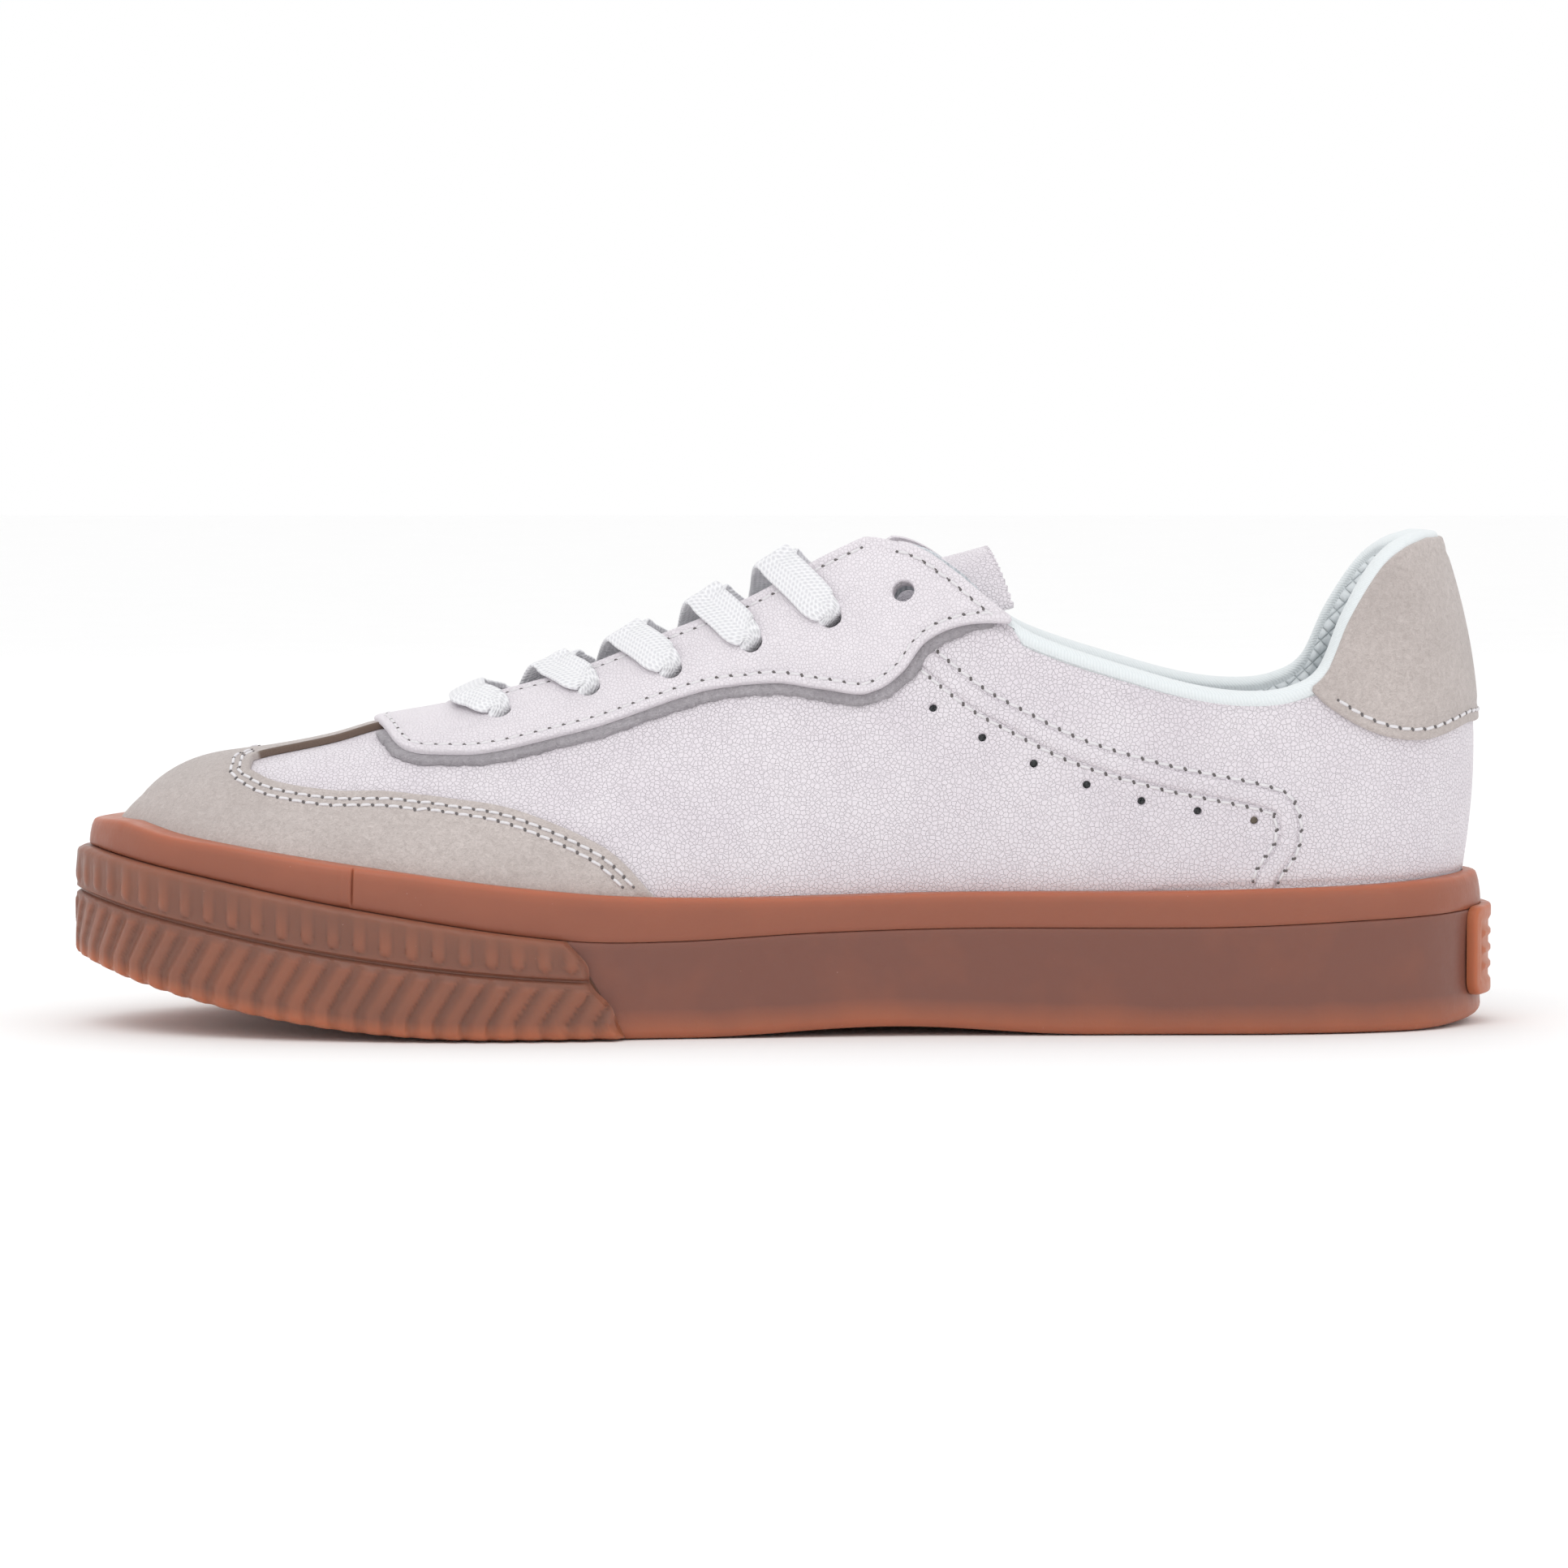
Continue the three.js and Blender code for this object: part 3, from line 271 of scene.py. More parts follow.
COLUMNS, ROWS = 480, 96
_p = np.arange(COLUMNS + 1) / COLUMNS
_t = np.linspace(0, 1, ROWS + 1)
_grid = dome(_p[:, None], _t[None, :])
_steps = np.linalg.norm(np.diff(_grid, axis=1), axis=-1)
_from_ridge = np.concatenate([_steps[:, ::-1].cumsum(1)[:, ::-1], np.zeros((COLUMNS + 1, 1))], 1)


def from_ridge(p, t):
    """The distance along the leather from the ridge, read from the grid."""
    u = (p % 1.0) * COLUMNS
    v = np.clip(t, 0, 1) * ROWS
    i = np.minimum(np.floor(u).astype(int), COLUMNS - 1)
    j = np.minimum(np.floor(v).astype(int), ROWS - 1)
    a, b = u - i, v - j
    g = _from_ridge
    low = g[i, j] * (1 - a) + g[i + 1, j] * a
    high = g[i, j + 1] * (1 - a) + g[i + 1, j + 1] * a
    return low * (1 - b) + high * b


def flat(p, t):
    """The upper opened out flat: each place lies out from its ridge point by its distance."""
    x = ridge_place(wall(p)[..., 0])
    ridge = ridge_point(x)
    away = unit(wall(p, -UPPER_INSET) - ridge)
    closer = 0.62 + 0.38 * np.clip((x + 90) / 70, 0, 1)
    return ridge + away * (from_ridge(p, t) * closer)[..., None]


_flat_grid = flat(*np.meshgrid(_p[:-1], _t, indexing="ij"))


def _tree(points):
    tree = kdtree.KDTree(len(points))
    for i, point in enumerate(points):
        tree.insert((*point, 0.0)[:3], i)
    tree.balance()
    return tree


_FLAT_TREE = _tree(_flat_grid.reshape(-1, 2)[::3])
_nodes = np.stack(np.meshgrid(_p[:-1], _t, indexing="ij"), -1).reshape(-1, 2)[::3]


def solve(place, target, p, t, rounds=14):
    """The (p, t) line where place(p, t) meets each 2-D target, by Newton's method."""
    p, t = p.copy(), t.copy()
    for _ in range(rounds):
        miss = place(p, t) - target
        low, high = np.maximum(t - 0.002, 0), np.minimum(t + 0.002, 1)
        jp = (place(p + 0.001, t) - place(p - 0.001, t)) / 0.002
        jt = (place(p, high) - place(p, low)) / (high - low)[..., None]
        det = jp[..., 0] * jt[..., 1] - jt[..., 0] * jp[..., 1]
        det = np.where(np.abs(det) < 1e-9, 1e-9, det)
        step_p = (miss[..., 0] * jt[..., 1] - jt[..., 0] * miss[..., 1]) / det
        step_t = (jp[..., 0] * miss[..., 1] - miss[..., 0] * jp[..., 1]) / det
        p -= np.clip(step_p, -0.02, 0.02)
        t = np.clip(t - np.clip(step_t, -0.05, 0.05), 0.0, 0.999)
    return np.stack([p, t], 1)


def unflat(points):
    """The (p, t) line of places on the flat upper."""
    near = np.array([_FLAT_TREE.find((x, y, 0))[1] for x, y in points])
    return solve(flat, np.asarray(points, float), _nodes[near, 0], _nodes[near, 1], 10)


def drawn_places(ps, ts, axes):
    """A grid of known places on the upper and how they look along the axis left out."""
    ps, ts = (grid.ravel() for grid in np.meshgrid(ps, ts, indexing="ij"))
    return ps, ts, dome(ps, ts)[:, axes]


SIDE_AXES, PLAN_AXES = [0, 2], [0, 1]
_half = _p[:-1][(_p[:-1] > 0.004) & (_p[:-1] < 0.496)][::2]
SIDE_PLACES = {
    1: drawn_places(_half, _t[1:-2], SIDE_AXES),
    -1: drawn_places(1 - _half, _t[1:-2], SIDE_AXES),
}
PLAN_PLACES = drawn_places(_p[:-1:2], _t[30:-1], PLAN_AXES)


def from_drawing(points, places, axes):
    points = np.asarray(points, float)
    ps, ts, known = places
    near = [int(((known - point) ** 2).sum(1).argmin()) for point in points]
    return solve(lambda p, t: dome(p, t)[..., axes], points, ps[near], ts[near])


def from_side(points, side):
    """The (p, t) line through places drawn in side view. side is 1 medial, -1 lateral."""
    return from_drawing(points, SIDE_PLACES[side], SIDE_AXES)


def from_plan(points):
    """The (p, t) line through places on top of the upper, drawn in plan."""
    return from_drawing(points, PLAN_PLACES, PLAN_AXES)


def through(points):
    """Closely spaced points on a smooth line through the given ones."""
    ends = np.vstack([2 * points[0] - points[1], points, 2 * points[-1] - points[-2]])
    u = np.linspace(0, 1, 24, endpoint=False)[:, None]
    fine = []
    for a, b, c, d in zip(ends, ends[1:], ends[2:], ends[3:]):
        bend = 2 * b + (c - a) * u + (2 * a - 5 * b + 4 * c - d) * u**2
        fine.append(0.5 * (bend + (3 * b - a - 3 * c + d) * u**3))
    return np.vstack([*fine, points[-1:]])


def resample(line, steps):
    line = np.asarray(line, float)
    run = run_along(line)
    return read_at(np.linspace(0, run[-1], steps + 1), run, line)


def spline(points, steps):
    """Evenly spaced points on a smooth line through the given ones."""
    return resample(through(np.asarray(points, float)), steps)


# ------------------------------------------------------------------ meshes


SHARP_ANGLE = math.radians(50)


def add_object(name, data):
    obj = bpy.data.objects.new(name, data)
    bpy.context.scene.collection.objects.link(obj)
    return obj


def add_mesh(name, points, faces, finish, nodes=(), body="shoe", crisp=True):
    """A piece of the shoe that takes a finish and stands for CAD nodes. points are in mm."""
    mesh = bpy.data.meshes.new(name)
    mesh.from_pydata(world(points).tolist(), [], [list(map(int, f)) for f in faces])
    mesh.validate()
    mesh.shade_smooth()
    if crisp:
        mesh.set_sharp_from_angle(angle=SHARP_ANGLE)
    obj = add_object(name, mesh)
    mesh.materials.append(MATERIAL[finish])
    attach(obj, body)
    if nodes:
        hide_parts(*nodes)
    return obj


def set_attribute(obj, name, values):
    values = np.asarray(values, np.float32)
    kind, key = ("FLOAT", "value") if values.ndim == 1 else ("FLOAT_VECTOR", "vector")
    layer = obj.data.attributes.new(name, kind, "POINT")
    layer.data.foreach_set(key, values.ravel())


def places_of(obj):
    """A piece's points in the frame, in millimetres."""
    places = np.empty(len(obj.data.vertices) * 3)
    obj.data.vertices.foreach_get("co", places)
    return places.reshape(-1, 3) * 1000


def reworked(obj, merge=0.0):
    """Turns a piece's faces outwards, after joining points closer than merge metres."""
    work = bmesh.new()
    work.from_mesh(obj.data)
    if merge:
        bmesh.ops.remove_doubles(work, verts=work.verts, dist=merge)
    bmesh.ops.recalc_face_normals(work, faces=work.faces)
    work.to_mesh(obj.data)
    work.free()
    return obj


def grid_faces(rows, columns, close_rows, close_columns):
    """Quads over a grid of points that is closed on itself either way where asked."""
    i = np.arange(rows if close_rows else rows - 1)[:, None]
    j = np.arange(columns if close_columns else columns - 1)[None, :]
    a = i * columns + j
    b = i * columns + (j + 1) % columns
    c = ((i + 1) % rows) * columns + (j + 1) % columns
    d = ((i + 1) % rows) * columns + j
    return np.stack([a, b, c, d], -1).reshape(-1, 4).tolist()


def tube_faces(count, sides):
    """Faces over rings of points in a row, closed at both ends."""
    first, last = list(range(sides)), [(count - 1) * sides + k for k in range(sides)]
    return grid_faces(count, sides, False, True) + [first[::-1], last]


def inside(points, loops):
    """Whether each 2-D point is inside an odd number of the loops."""
    odd = np.zeros(len(points), bool)
    for loop in loops:
        x0, y0 = loop.T
        x1, y1 = np.roll(loop, -1, axis=0).T
        for a, b, c, d in zip(x0, y0, x1, y1):
            if b == d:
                continue
            hit = (points[:, 1] < b) != (points[:, 1] < d)
            cut = a + (points[:, 1] - b) * (c - a) / (d - b)
            odd ^= hit & (points[:, 0] < cut)
    return odd


def closed(loop):
    return np.vstack([loop, loop[:1]])


def level_at(xs, y):
    """Rows of each x with the same y."""
    return np.stack([xs, np.full(len(xs), y)], 1)


def distance_to(points, loops):
    tree = _tree(np.vstack([resample(closed(q), 4 * len(q)) for q in loops]))
    return np.array([tree.find((x, y, 0))[2] for x, y in points])


RINGS = (0.0, 0.16, 0.4, 0.8, 1.3, 1.9, 2.6)
FAR = 99.0


def panel(name, loops, surface, layers, finish, nodes=(), spacing=1.7, edge=0.45, rings=RINGS,
          body="shoe", step=0.9, shape=None):
    """A sheet of leather or cloth with rolled edges, cut to loops drawn in the flat.

    surface(points) takes flat points and gives a function from distances to 3-D points.
    layers are its bottom's and its top's distance from the surface, and
    shape(points3d, border) adds to the top's.
    """
    bottom, top = layers
    loops = [resample(closed(q), max(12, int(run_along(closed(q))[-1] / step)))[:-1] for q in loops]
    flips = [1 if _area(q) > 0 else -1 for q in loops]
    points, border, constraints = [], [], []
    count = 0
    for number, (loop, flip) in enumerate(zip(loops, flips)):
        inward = flip if number == 0 else -flip
        for ring, away in enumerate(rings if number == 0 else rings[:3]):
            moved = _offset(loop, away * inward)
            if ring == 0:
                size = len(moved)
                constraints += [(count + i, count + (i + 1) % size) for i in range(size)]
            else:
                moved = moved[inside(moved, loops)]
                if not len(moved):
                    continue
                moved = moved[distance_to(moved, loops) > away * 0.8]
            points.append(moved)
            border.append(np.full(len(moved), away))
            count += len(moved)
    low, high = loops[0].min(0), loops[0].max(0)
    rows = []
    for k, y in enumerate(np.arange(low[1], high[1], spacing * 0.866)):
        xs = np.arange(low[0] + (k % 2) * spacing / 2, high[0], spacing)
        rows.append(level_at(xs, y))
    fill = np.vstack(rows)
    fill = fill[inside(fill, loops)]
    fill = fill[distance_to(fill, loops) > rings[-1] + spacing * 0.45]
    points = [Vector(q) for q in np.vstack([*points, fill]).tolist()]
    border = np.concatenate([*border, np.full(len(fill), FAR)])
    result = geometry.delaunay_2d_cdt(points, constraints, [], 0, 1e-5)
    verts = np.array([tuple(q) for q in result[0]])
    border = np.array([min(border[i] for i in ids) if ids else 0.0 for ids in result[3]])
    faces = np.array([f for f in result[2] if len(f) == 3])
    faces = faces[inside(verts[faces].mean(1), loops)]
    used = np.unique(faces)
    renumber = np.full(len(verts), -1)
    renumber[used] = np.arange(len(used))
    verts, border, faces = verts[used], border[used], renumber[faces]
    place = surface(verts)
    raised = top - np.sign(top - bottom) * rounding(border, edge)
    if shape is not None:
        raised = raised + shape(place(np.zeros(len(verts))), border)
    upper = place(raised)
    lower = place(np.full(len(verts), bottom))
    n = len(verts)
    a, b, c = upper[faces[:, 0]], upper[faces[:, 1]], upper[faces[:, 2]]
    facing = (np.cross(b - a, c - a) * (upper - lower)[faces[:, 0]]).sum(1)
    faces[facing < 0] = faces[facing < 0][:, ::-1]
    faces = [tuple(map(int, f)) for f in faces]
    sides = dict.fromkeys(pair for i, j, k in faces for pair in ((i, j), (j, k), (k, i)))
    every = faces + [(i + n, k + n, j + n) for i, j, k in faces]
    every += [(j, i, i + n, j + n) for i, j in sides if (j, i) not in sides]
    return add_mesh(name, np.vstack([upper, lower]), every, finish, nodes, body)


def _area(loop):
    x, y = loop.T
    return float((x * np.roll(y, -1) - np.roll(x, -1) * y).sum() / 2)


def _offset(loop, distance):
    """A closed loop moved to its left by distance."""
    along = np.roll(loop, -1, axis=0) - np.roll(loop, 1, axis=0)
    along /= np.maximum(np.linalg.norm(along, axis=1, keepdims=True), 1e-9)
    return loop + np.stack([-along[:, 1], along[:, 0]], 1) * distance


def on_upper(points):
    """Where flat points are for each distance out from the leather's outside."""
    p, t = unflat(points).T
    start, normal = dome(p, t), dome_normal(p, t)
    return lambda distance: start + normal * distance[:, None]


def shift_line(line, distance):
    """A (p, t) line on the upper moved along the leather to its left, seen from outside."""
    p, t = line.T
    across = unit(np.cross(dome_normal(p, t), np.gradient(dome(p, t), axis=0)))
    return nudge(p, t, across * np.asarray(distance)[..., None])


def nudge(p, t, move):
    """The (p, t) line of places moved by small 3-D steps along the surface."""
    dp = (dome(p + 0.001, t) - dome(p - 0.001, t)) / 0.002
    dt = (dome(p, t + 0.002) - dome(p, t - 0.002)) / 0.004
    a, b, c = (dp * dp).sum(-1), (dp * dt).sum(-1), (dt * dt).sum(-1)
    e, f = (dp * move).sum(-1), (dt * move).sum(-1)
    det = a * c - b * b
    return np.stack([p + (c * e - b * f) / det, t + (a * f - b * e) / det], 1)


def circle_on(p, t, radius, count):
    """A (p, t) loop round a place on the upper."""
    p, t = np.full(count, p), np.full(count, t)
    first = unit(dome(p + 0.001, t) - dome(p - 0.001, t))
    second = np.cross(dome_normal(p, t), first)
    turn = (np.arange(count) / count * 2 * np.pi)[:, None]
    return nudge(p, t, radius * (np.cos(turn) * first + np.sin(turn) * second))


def level_line(ps, height):
    """The (p, t) line round the upper where it is at height(x)."""
    ts = np.linspace(0.01, 0.995, 400)
    grid = dome(np.asarray(ps)[:, None], ts[None, :])
    above = grid[..., 2] - height(grid[..., 0])
    i = np.maximum((above > 0).argmax(1), 1)
    row = np.arange(len(ps))
    low, high = above[row, i - 1], above[row, i]
    return np.stack([ps, ts[i - 1] + (ts[i] - ts[i - 1]) * low / (low - high)], 1)


def foot_line(ps):
    """The (p, t) line low down behind the rubber, where nothing shows."""
    return level_at(ps, 0.03)


def round_heel(first, last, count):
    """Stations from first to last through the middle of the heel, where they start again."""
    near, far = (0, 1) if first < last else (1, 0)
    return np.concatenate([np.linspace(first, near, count), np.linspace(far, last, count)[1:]])


def opened(*lines):
    """A loop on the flat upper through (p, t) lines."""
    return np.vstack([flat(*line.T) for line in lines])


# ------------------------------------------------------------------ outlines of the upper

COLLAR_EDGE = [
    (-134.6, 104.6), (-129.6, 102.6), (-124.5, 98.4), (-117.8, 88), (-112.8, 77.1),
    (-106, 72.7), (-97, 71.6), (-86, 72.9), (-72.6, 76.6), (-55.8, 82.1), (-48.3, 85.8),
]
TOP_EDGE = COLLAR_EDGE + [(-33.2, 97.7), (-27.3, 100.7), (-21.5, 101.4)]
SEAM = [
    (-99.6, 22), (-100.6, 31.8), (-104.9, 39.4), (-104.4, 46.3), (-99.4, 49.3), (-79.3, 53.5),
    (-61.8, 58.7), (-48.4, 65.2), (-39.6, 70.2), (-28.5, 79.1), (-18, 89),
]
EYESTAY_EDGE = [
    (80, 58), (69.4, 56.7), (58.7, 57.7), (43.7, 61.3), (28, 66.4), (14.3, 70.7), (2.3, 72),
    (-7.9, 71), (-17.8, 70.2), (-24.8, 74.4), (-30, 80.8), (-37.4, 84.2), (-47.6, 84.8),
]
WING_EDGE = [
    (111.8, 53.4), (105, 51.1), (90.9, 49.7), (69.4, 48.3), (52.3, 45.3), (37.3, 39.1),
    (28, 30.5), (24.6, 26),
]
PATCH_EDGE = [(-143.9, 63.8), (-133.6, 60.8), (-123.4, 62.4), (-113.1, 68.2), (-106.6, 75)]
THROAT = [
    (-21.5, 15.6, 19.5), (-10, 15.2, 18.6), (6, 14.2, 17.4), (23, 12.4, 16), (40, 9.8, 14),
    (59, 7.8, 11), (65, 5.5, 7.5), (68.5, 3, 3.8), (69.5, 0.3, 0.3),
]
EYELETS = [(59, 64.6), (40.1, 69.6), (23, 74.1), (6.2, 80), (-10.2, 85.5), (-25.5, 91)]
PERFORATIONS = [
    (-31.2, 67.8), (-41.4, 61.7), (-52.1, 56.3), (-63.1, 51.9), (-74.5, 48.5), (-86.2, 46.4),
    (-98, 44.4),
]
SIDES = ((1, "medial"), (-1, "lateral"))

top_height = profile(TOP_EDGE)
patch_height = profile(PATCH_EDGE)


def leather_top(x):
    """The leather's top edge, lowered along the collar to leave room for the binding."""
    return top_height(x) - 2.2 * np.clip((-x - 44) / 6, 0, 1)


def throat_line():
    """Round the throat from its rear medial corner to its rear lateral one."""
    medial = [(x, ridge_y(x) + half) for x, half, _ in THROAT]
    lateral = [(x, ridge_y(x) - half) for x, _, half in reversed(THROAT)]
    front = spline([*medial, *lateral], 150)
    return from_plan(front)


THROAT_LINE = throat_line()
HALF = len(THROAT_LINE) // 2
THROAT_SIDE = {1: THROAT_LINE[: HALF + 1], -1: THROAT_LINE[HALF:][::-1]}
CORNER = {side: THROAT_SIDE[side][0, 0] for side, _ in SIDES}
HEEL = {1: 0.0003, -1: 0.9997}
FRONT_OF_THROAT = 70
SEAM_TOP_X = -13


def station_at(x, side, height):
    """The p where the line at height(x) passes x."""
    return float(from_side([(x, float(height(x)))], side)[0, 0])


def throat_part(side, front_x, rear_x=-math.inf):
    """The throat's edge from rear_x, or from near its rear corner, forward to front_x."""
    line = THROAT_SIDE[side][3:]
    x = dome(*line.T)[:, 0]
    return line[(x > rear_x) & (x < front_x)]


def hole_at(spot, side, radius=EYELET_RADIUS, count=28):
    """A round hole about a place drawn in side view."""
    return opened(circle_on(*from_side([spot], side)[0], radius, count))


def eyelet_loops(spots=EYELETS):
    return [hole_at(spot, side) for side, _ in SIDES for spot in spots]


# ------------------------------------------------------------------ materials


class Nodes:
    """Short ways to put nodes into a material's tree."""

    def __init__(self, material):
        self.tree = material.node_tree
        self.shader = self.tree.nodes["Principled BSDF"]
        self.place = self.tree.nodes.new("ShaderNodeTexCoord").outputs["Object"]

    def new(self, kind, inputs=None, **settings):
        node = self.tree.nodes.new("ShaderNode" + kind)
        for key, value in settings.items():
            setattr(node, key, value)
        self.put(node, inputs or {})
        return node

    def put(self, node, inputs):
        for key, value in inputs.items():
            if isinstance(value, bpy.types.NodeSocket):
                self.tree.links.new(value, node.inputs[key])
            else:
                node.inputs[key].default_value = value

    def noise(self, size, detail=3.0, rough=0.55, place=None, distortion=0.0):
        """Noise with features about size millimetres across."""
        inputs = {"Vector": place or self.place, "Scale": 1000 / size, "Detail": detail}
        inputs.update(Roughness=rough, Distortion=distortion)
        return self.new("TexNoise", inputs).outputs["Fac"]

    def cells(self, size, feature="F1"):
        inputs = {"Vector": self.place, "Scale": 1000 / size}
        return self.new("TexVoronoi", inputs, feature=feature).outputs["Distance"]

    def math(self, operation, a, b=0.0, clamp=False):
        node = self.new("Math", {0: a, 1: b}, operation=operation, use_clamp=clamp)
        return node.outputs[0]

    def times(self, a, b):
        return self.math("MULTIPLY", a, b)

    def wave(self, value, pitch):
        """A sine of value with one turn in each pitch."""
        return self.math("SINE", self.times(value, 2 * math.pi / pitch))

    def span(self, value, low, high, to_low=0, to_high=1):
        inputs = {"Value": value, "From Min": low, "From Max": high}
        inputs.update({"To Min": to_low, "To Max": to_high})
        return self.new("MapRange", inputs).outputs["Result"]

    def mix(self, share, a, b):
        """Colour a, or b where share is 1."""
        a, b = (c if isinstance(c, bpy.types.NodeSocket) else (*c, 1) for c in (a, b))
        return self.new("Mix", {0: share, 6: a, 7: b}, data_type="RGBA").outputs[2]

    def attribute(self, name, output="Fac"):
        return self.new("Attribute", attribute_name=name).outputs[output]

    def axes(self, place):
        return self.new("SeparateXYZ", {"Vector": place}).outputs

    def millimetres(self):
        return self.new("Mapping", {"Vector": self.place, "Scale": (1000, 1000, 1000)}).outputs[0]

    def finish(self, color, rough, relief=(), **fixed):
        """relief is layers of bumps, each a height from 0 to 1 and its depth in millimetres."""
        inputs = {"Base Color": color, "Roughness": rough}
        for height, depth in relief:
            bump = {"Height": height, "Distance": depth / 1000, "Strength": 1.0}
            if "Normal" in inputs:
                bump["Normal"] = inputs["Normal"]
            inputs["Normal"] = self.new("Bump", bump).outputs["Normal"]
        inputs.update({key.replace("_", " "): value for key, value in fixed.items()})
        self.put(self.shader, inputs)


def darker(color, share):
    return tuple(c * share for c in color)


def leather(n, color, shade, grain=0.9, relief=0.1):
    pores = n.cells(grain, "DISTANCE_TO_EDGE")
    fine = n.noise(0.35, 2)
    tint = n.mix(n.span(n.noise(14, 2), 0.35, 0.65), color, shade)
    # Darker along the grain's cell edges, where the bumps sink in: painted shade in the grain's
    # creases.
    tint = n.mix(n.span(pores, 0, 0.05, 0.22, 0), tint, darker(shade, 0.72))
    folds = n.noise(9, 3, 0.6, distortion=0.6)
    layers = [(n.span(pores, 0, 0.09), relief), (fine, relief * 0.2), (folds, 0.3)]
    n.finish(tint, n.span(fine, 0.3, 0.7, 0.42, 0.56), layers, Specular_IOR_Level=0.42)


def nap(n, dark, light, size, depth):
    """Short standing fibres that lie different ways. The cut attribute marks a cut edge, whose dark
    brown is partly the edge's own colour and partly painted shade.
    """
    streak = n.new("Mapping", {"Vector": n.place, "Scale": (1.0, 1.6, 2.2)}).outputs[0]
    fibre = n.noise(size, 4, 0.75, streak, 1.2)
    clumps = n.noise(size * 2.4, 3, 0.65, distortion=0.8)
    tone = n.math("ADD", n.times(fibre, 0.62), n.times(clumps, 0.38))
    tint = n.mix(n.span(tone, 0.36, 0.64), dark, light)
    brushed = n.span(n.noise(26, 2, 0.5), 0.35, 0.65, 0, 0.35)
    tint = n.mix(brushed, tint, darker(dark, 0.9))
    # The cut edge's dark brown: partly its own colour, partly painted shade on its wall.
    tint = n.mix(n.attribute("cut"), tint, (0.17, 0.12, 0.095))
    layers = [(clumps, depth * 1.6), (fibre, depth)]
    n.finish(tint, 0.95, layers, Sheen_Weight=0.35, Sheen_Roughness=0.5, Specular_IOR_Level=0.1)


def rubber(n, glow, body):
    """Gum rubber: light goes into it, so thin edges glow. The glow attribute marks them."""
    cloud = n.span(n.noise(16, 3, 0.55), 0.3, 0.7, -0.12, 0.12)
    tint = n.mix(n.math("ADD", n.attribute("glow"), cloud, clamp=True), body, glow)
    specks = n.span(n.cells(2.6), 0.0, 0.055, 1, 0)
    chosen = n.span(n.noise(5.5, 1), 0.56, 0.6, 0, 0.55)
    tint = n.mix(n.times(specks, chosen), tint, (0.62, 0.42, 0.36))
    rough = n.span(n.noise(3.2, 3), 0.3, 0.7, 0.34, 0.5)
    layers = [(n.noise(0.7, 3), 0.03), (n.noise(7, 3), 0.22)]
    n.finish(tint, rough, layers, Subsurface_Weight=0.35, Subsurface_Radius=(1.0, 0.42, 0.26),
             Subsurface_Scale=0.0035, Specular_IOR_Level=0.4)


def open_foam(n, color):
    holes = n.span(n.cells(0.9), 0.1, 0.5)
    # Darker down in the foam's holes: painted shade.
    tint = n.mix(holes, darker(color, 0.72), color)
    n.finish(tint, 0.95, [(holes, 0.25)], Specular_IOR_Level=0.15)


def fibre_board(n, color):
    strands = n.noise(1.6, 5, 0.7, distortion=1.5)
    tint = n.mix(n.span(strands, 0.35, 0.65), darker(color, 0.7), color)
    n.finish(tint, 0.9, [(strands, 0.12)], Specular_IOR_Level=0.2)


def plain_weave(n, color, dark):
    xyz = n.axes(n.millimetres())
    height = n.span(n.times(n.wave(xyz[0], 1.1), n.wave(xyz[1], 1.1)), -1, 1)
    # Darker where the weave sinks between the threads: painted shade.
    tint = n.mix(n.span(height, 0.1, 0.8), dark, color)
    n.finish(tint, 0.9, [(height, 0.12), (n.noise(0.3, 3, 0.7), 0.072)], Sheen_Weight=0.2)


def quilting(n, low, high):
    """Knitted lining, quilted in a pattern of overlapping scales."""
    along, _, up = n.axes(n.millimetres())
    slants = [n.wave(n.math(way, along, up), 6.5) for way in ("ADD", "SUBTRACT")]
    crest = n.times(*(n.math("ABSOLUTE", slant) for slant in slants))
    pillow = n.math("POWER", crest, 0.35)
    # Darker down in the quilting's seams, lighter on the raised scales: painted shade.
    tint = n.mix(n.span(pillow, 0.15, 0.75), low, high)
    layers = [(pillow, 0.55), (n.noise(0.7, 3, 0.6), 0.12)]
    n.finish(tint, 0.85, layers, Sheen_Weight=0.3, Specular_IOR_Level=0.25)


def ribbed_tape(n, low, high):
    """The ribs attribute is the distance along the tape."""
    wave = n.span(n.wave(n.attribute("ribs"), 0.7), -1, 1)
    # Darker between the ribs, where the tape sinks: painted shade.
    tint = n.mix(wave, low, high)
    n.finish(tint, 0.8, [(wave, 0.05), (n.noise(0.5, 4, 0.7), 0.1)], Sheen_Weight=0.3)


def flat_braid(n, low, high):
    """Fine ribs that lean to both sides of the middle. grain is across and along."""
    across, along, _ = n.axes(n.attribute("grain", "Vector"))
    lean = n.math("ADD", along, n.times(n.math("ABSOLUTE", across), 0.8))
    crossing = n.math("ADD", n.wave(lean, 1.05), n.times(n.wave(across, 1.0), 0.8))
    height = n.span(crossing, -1.8, 1.8)
    # Darker in the grooves between the ribs: painted shade.
    tint = n.mix(n.span(height, 0.1, 0.7), low, high)
    layers = [(height, 0.26), (n.noise(0.28, 4, 0.7), 0.1)]
    n.finish(tint, 0.9, layers, Sheen_Weight=0.3, Specular_IOR_Level=0.15)


def speckled(n, low, high, size, detail, harshness, rough, depth):
    """Two close colours in fine noise, with a relief of the same noise."""
    noise = n.noise(size, detail, harshness)
    n.finish(n.mix(noise, low, high), rough, [(noise, depth)] if depth else ())


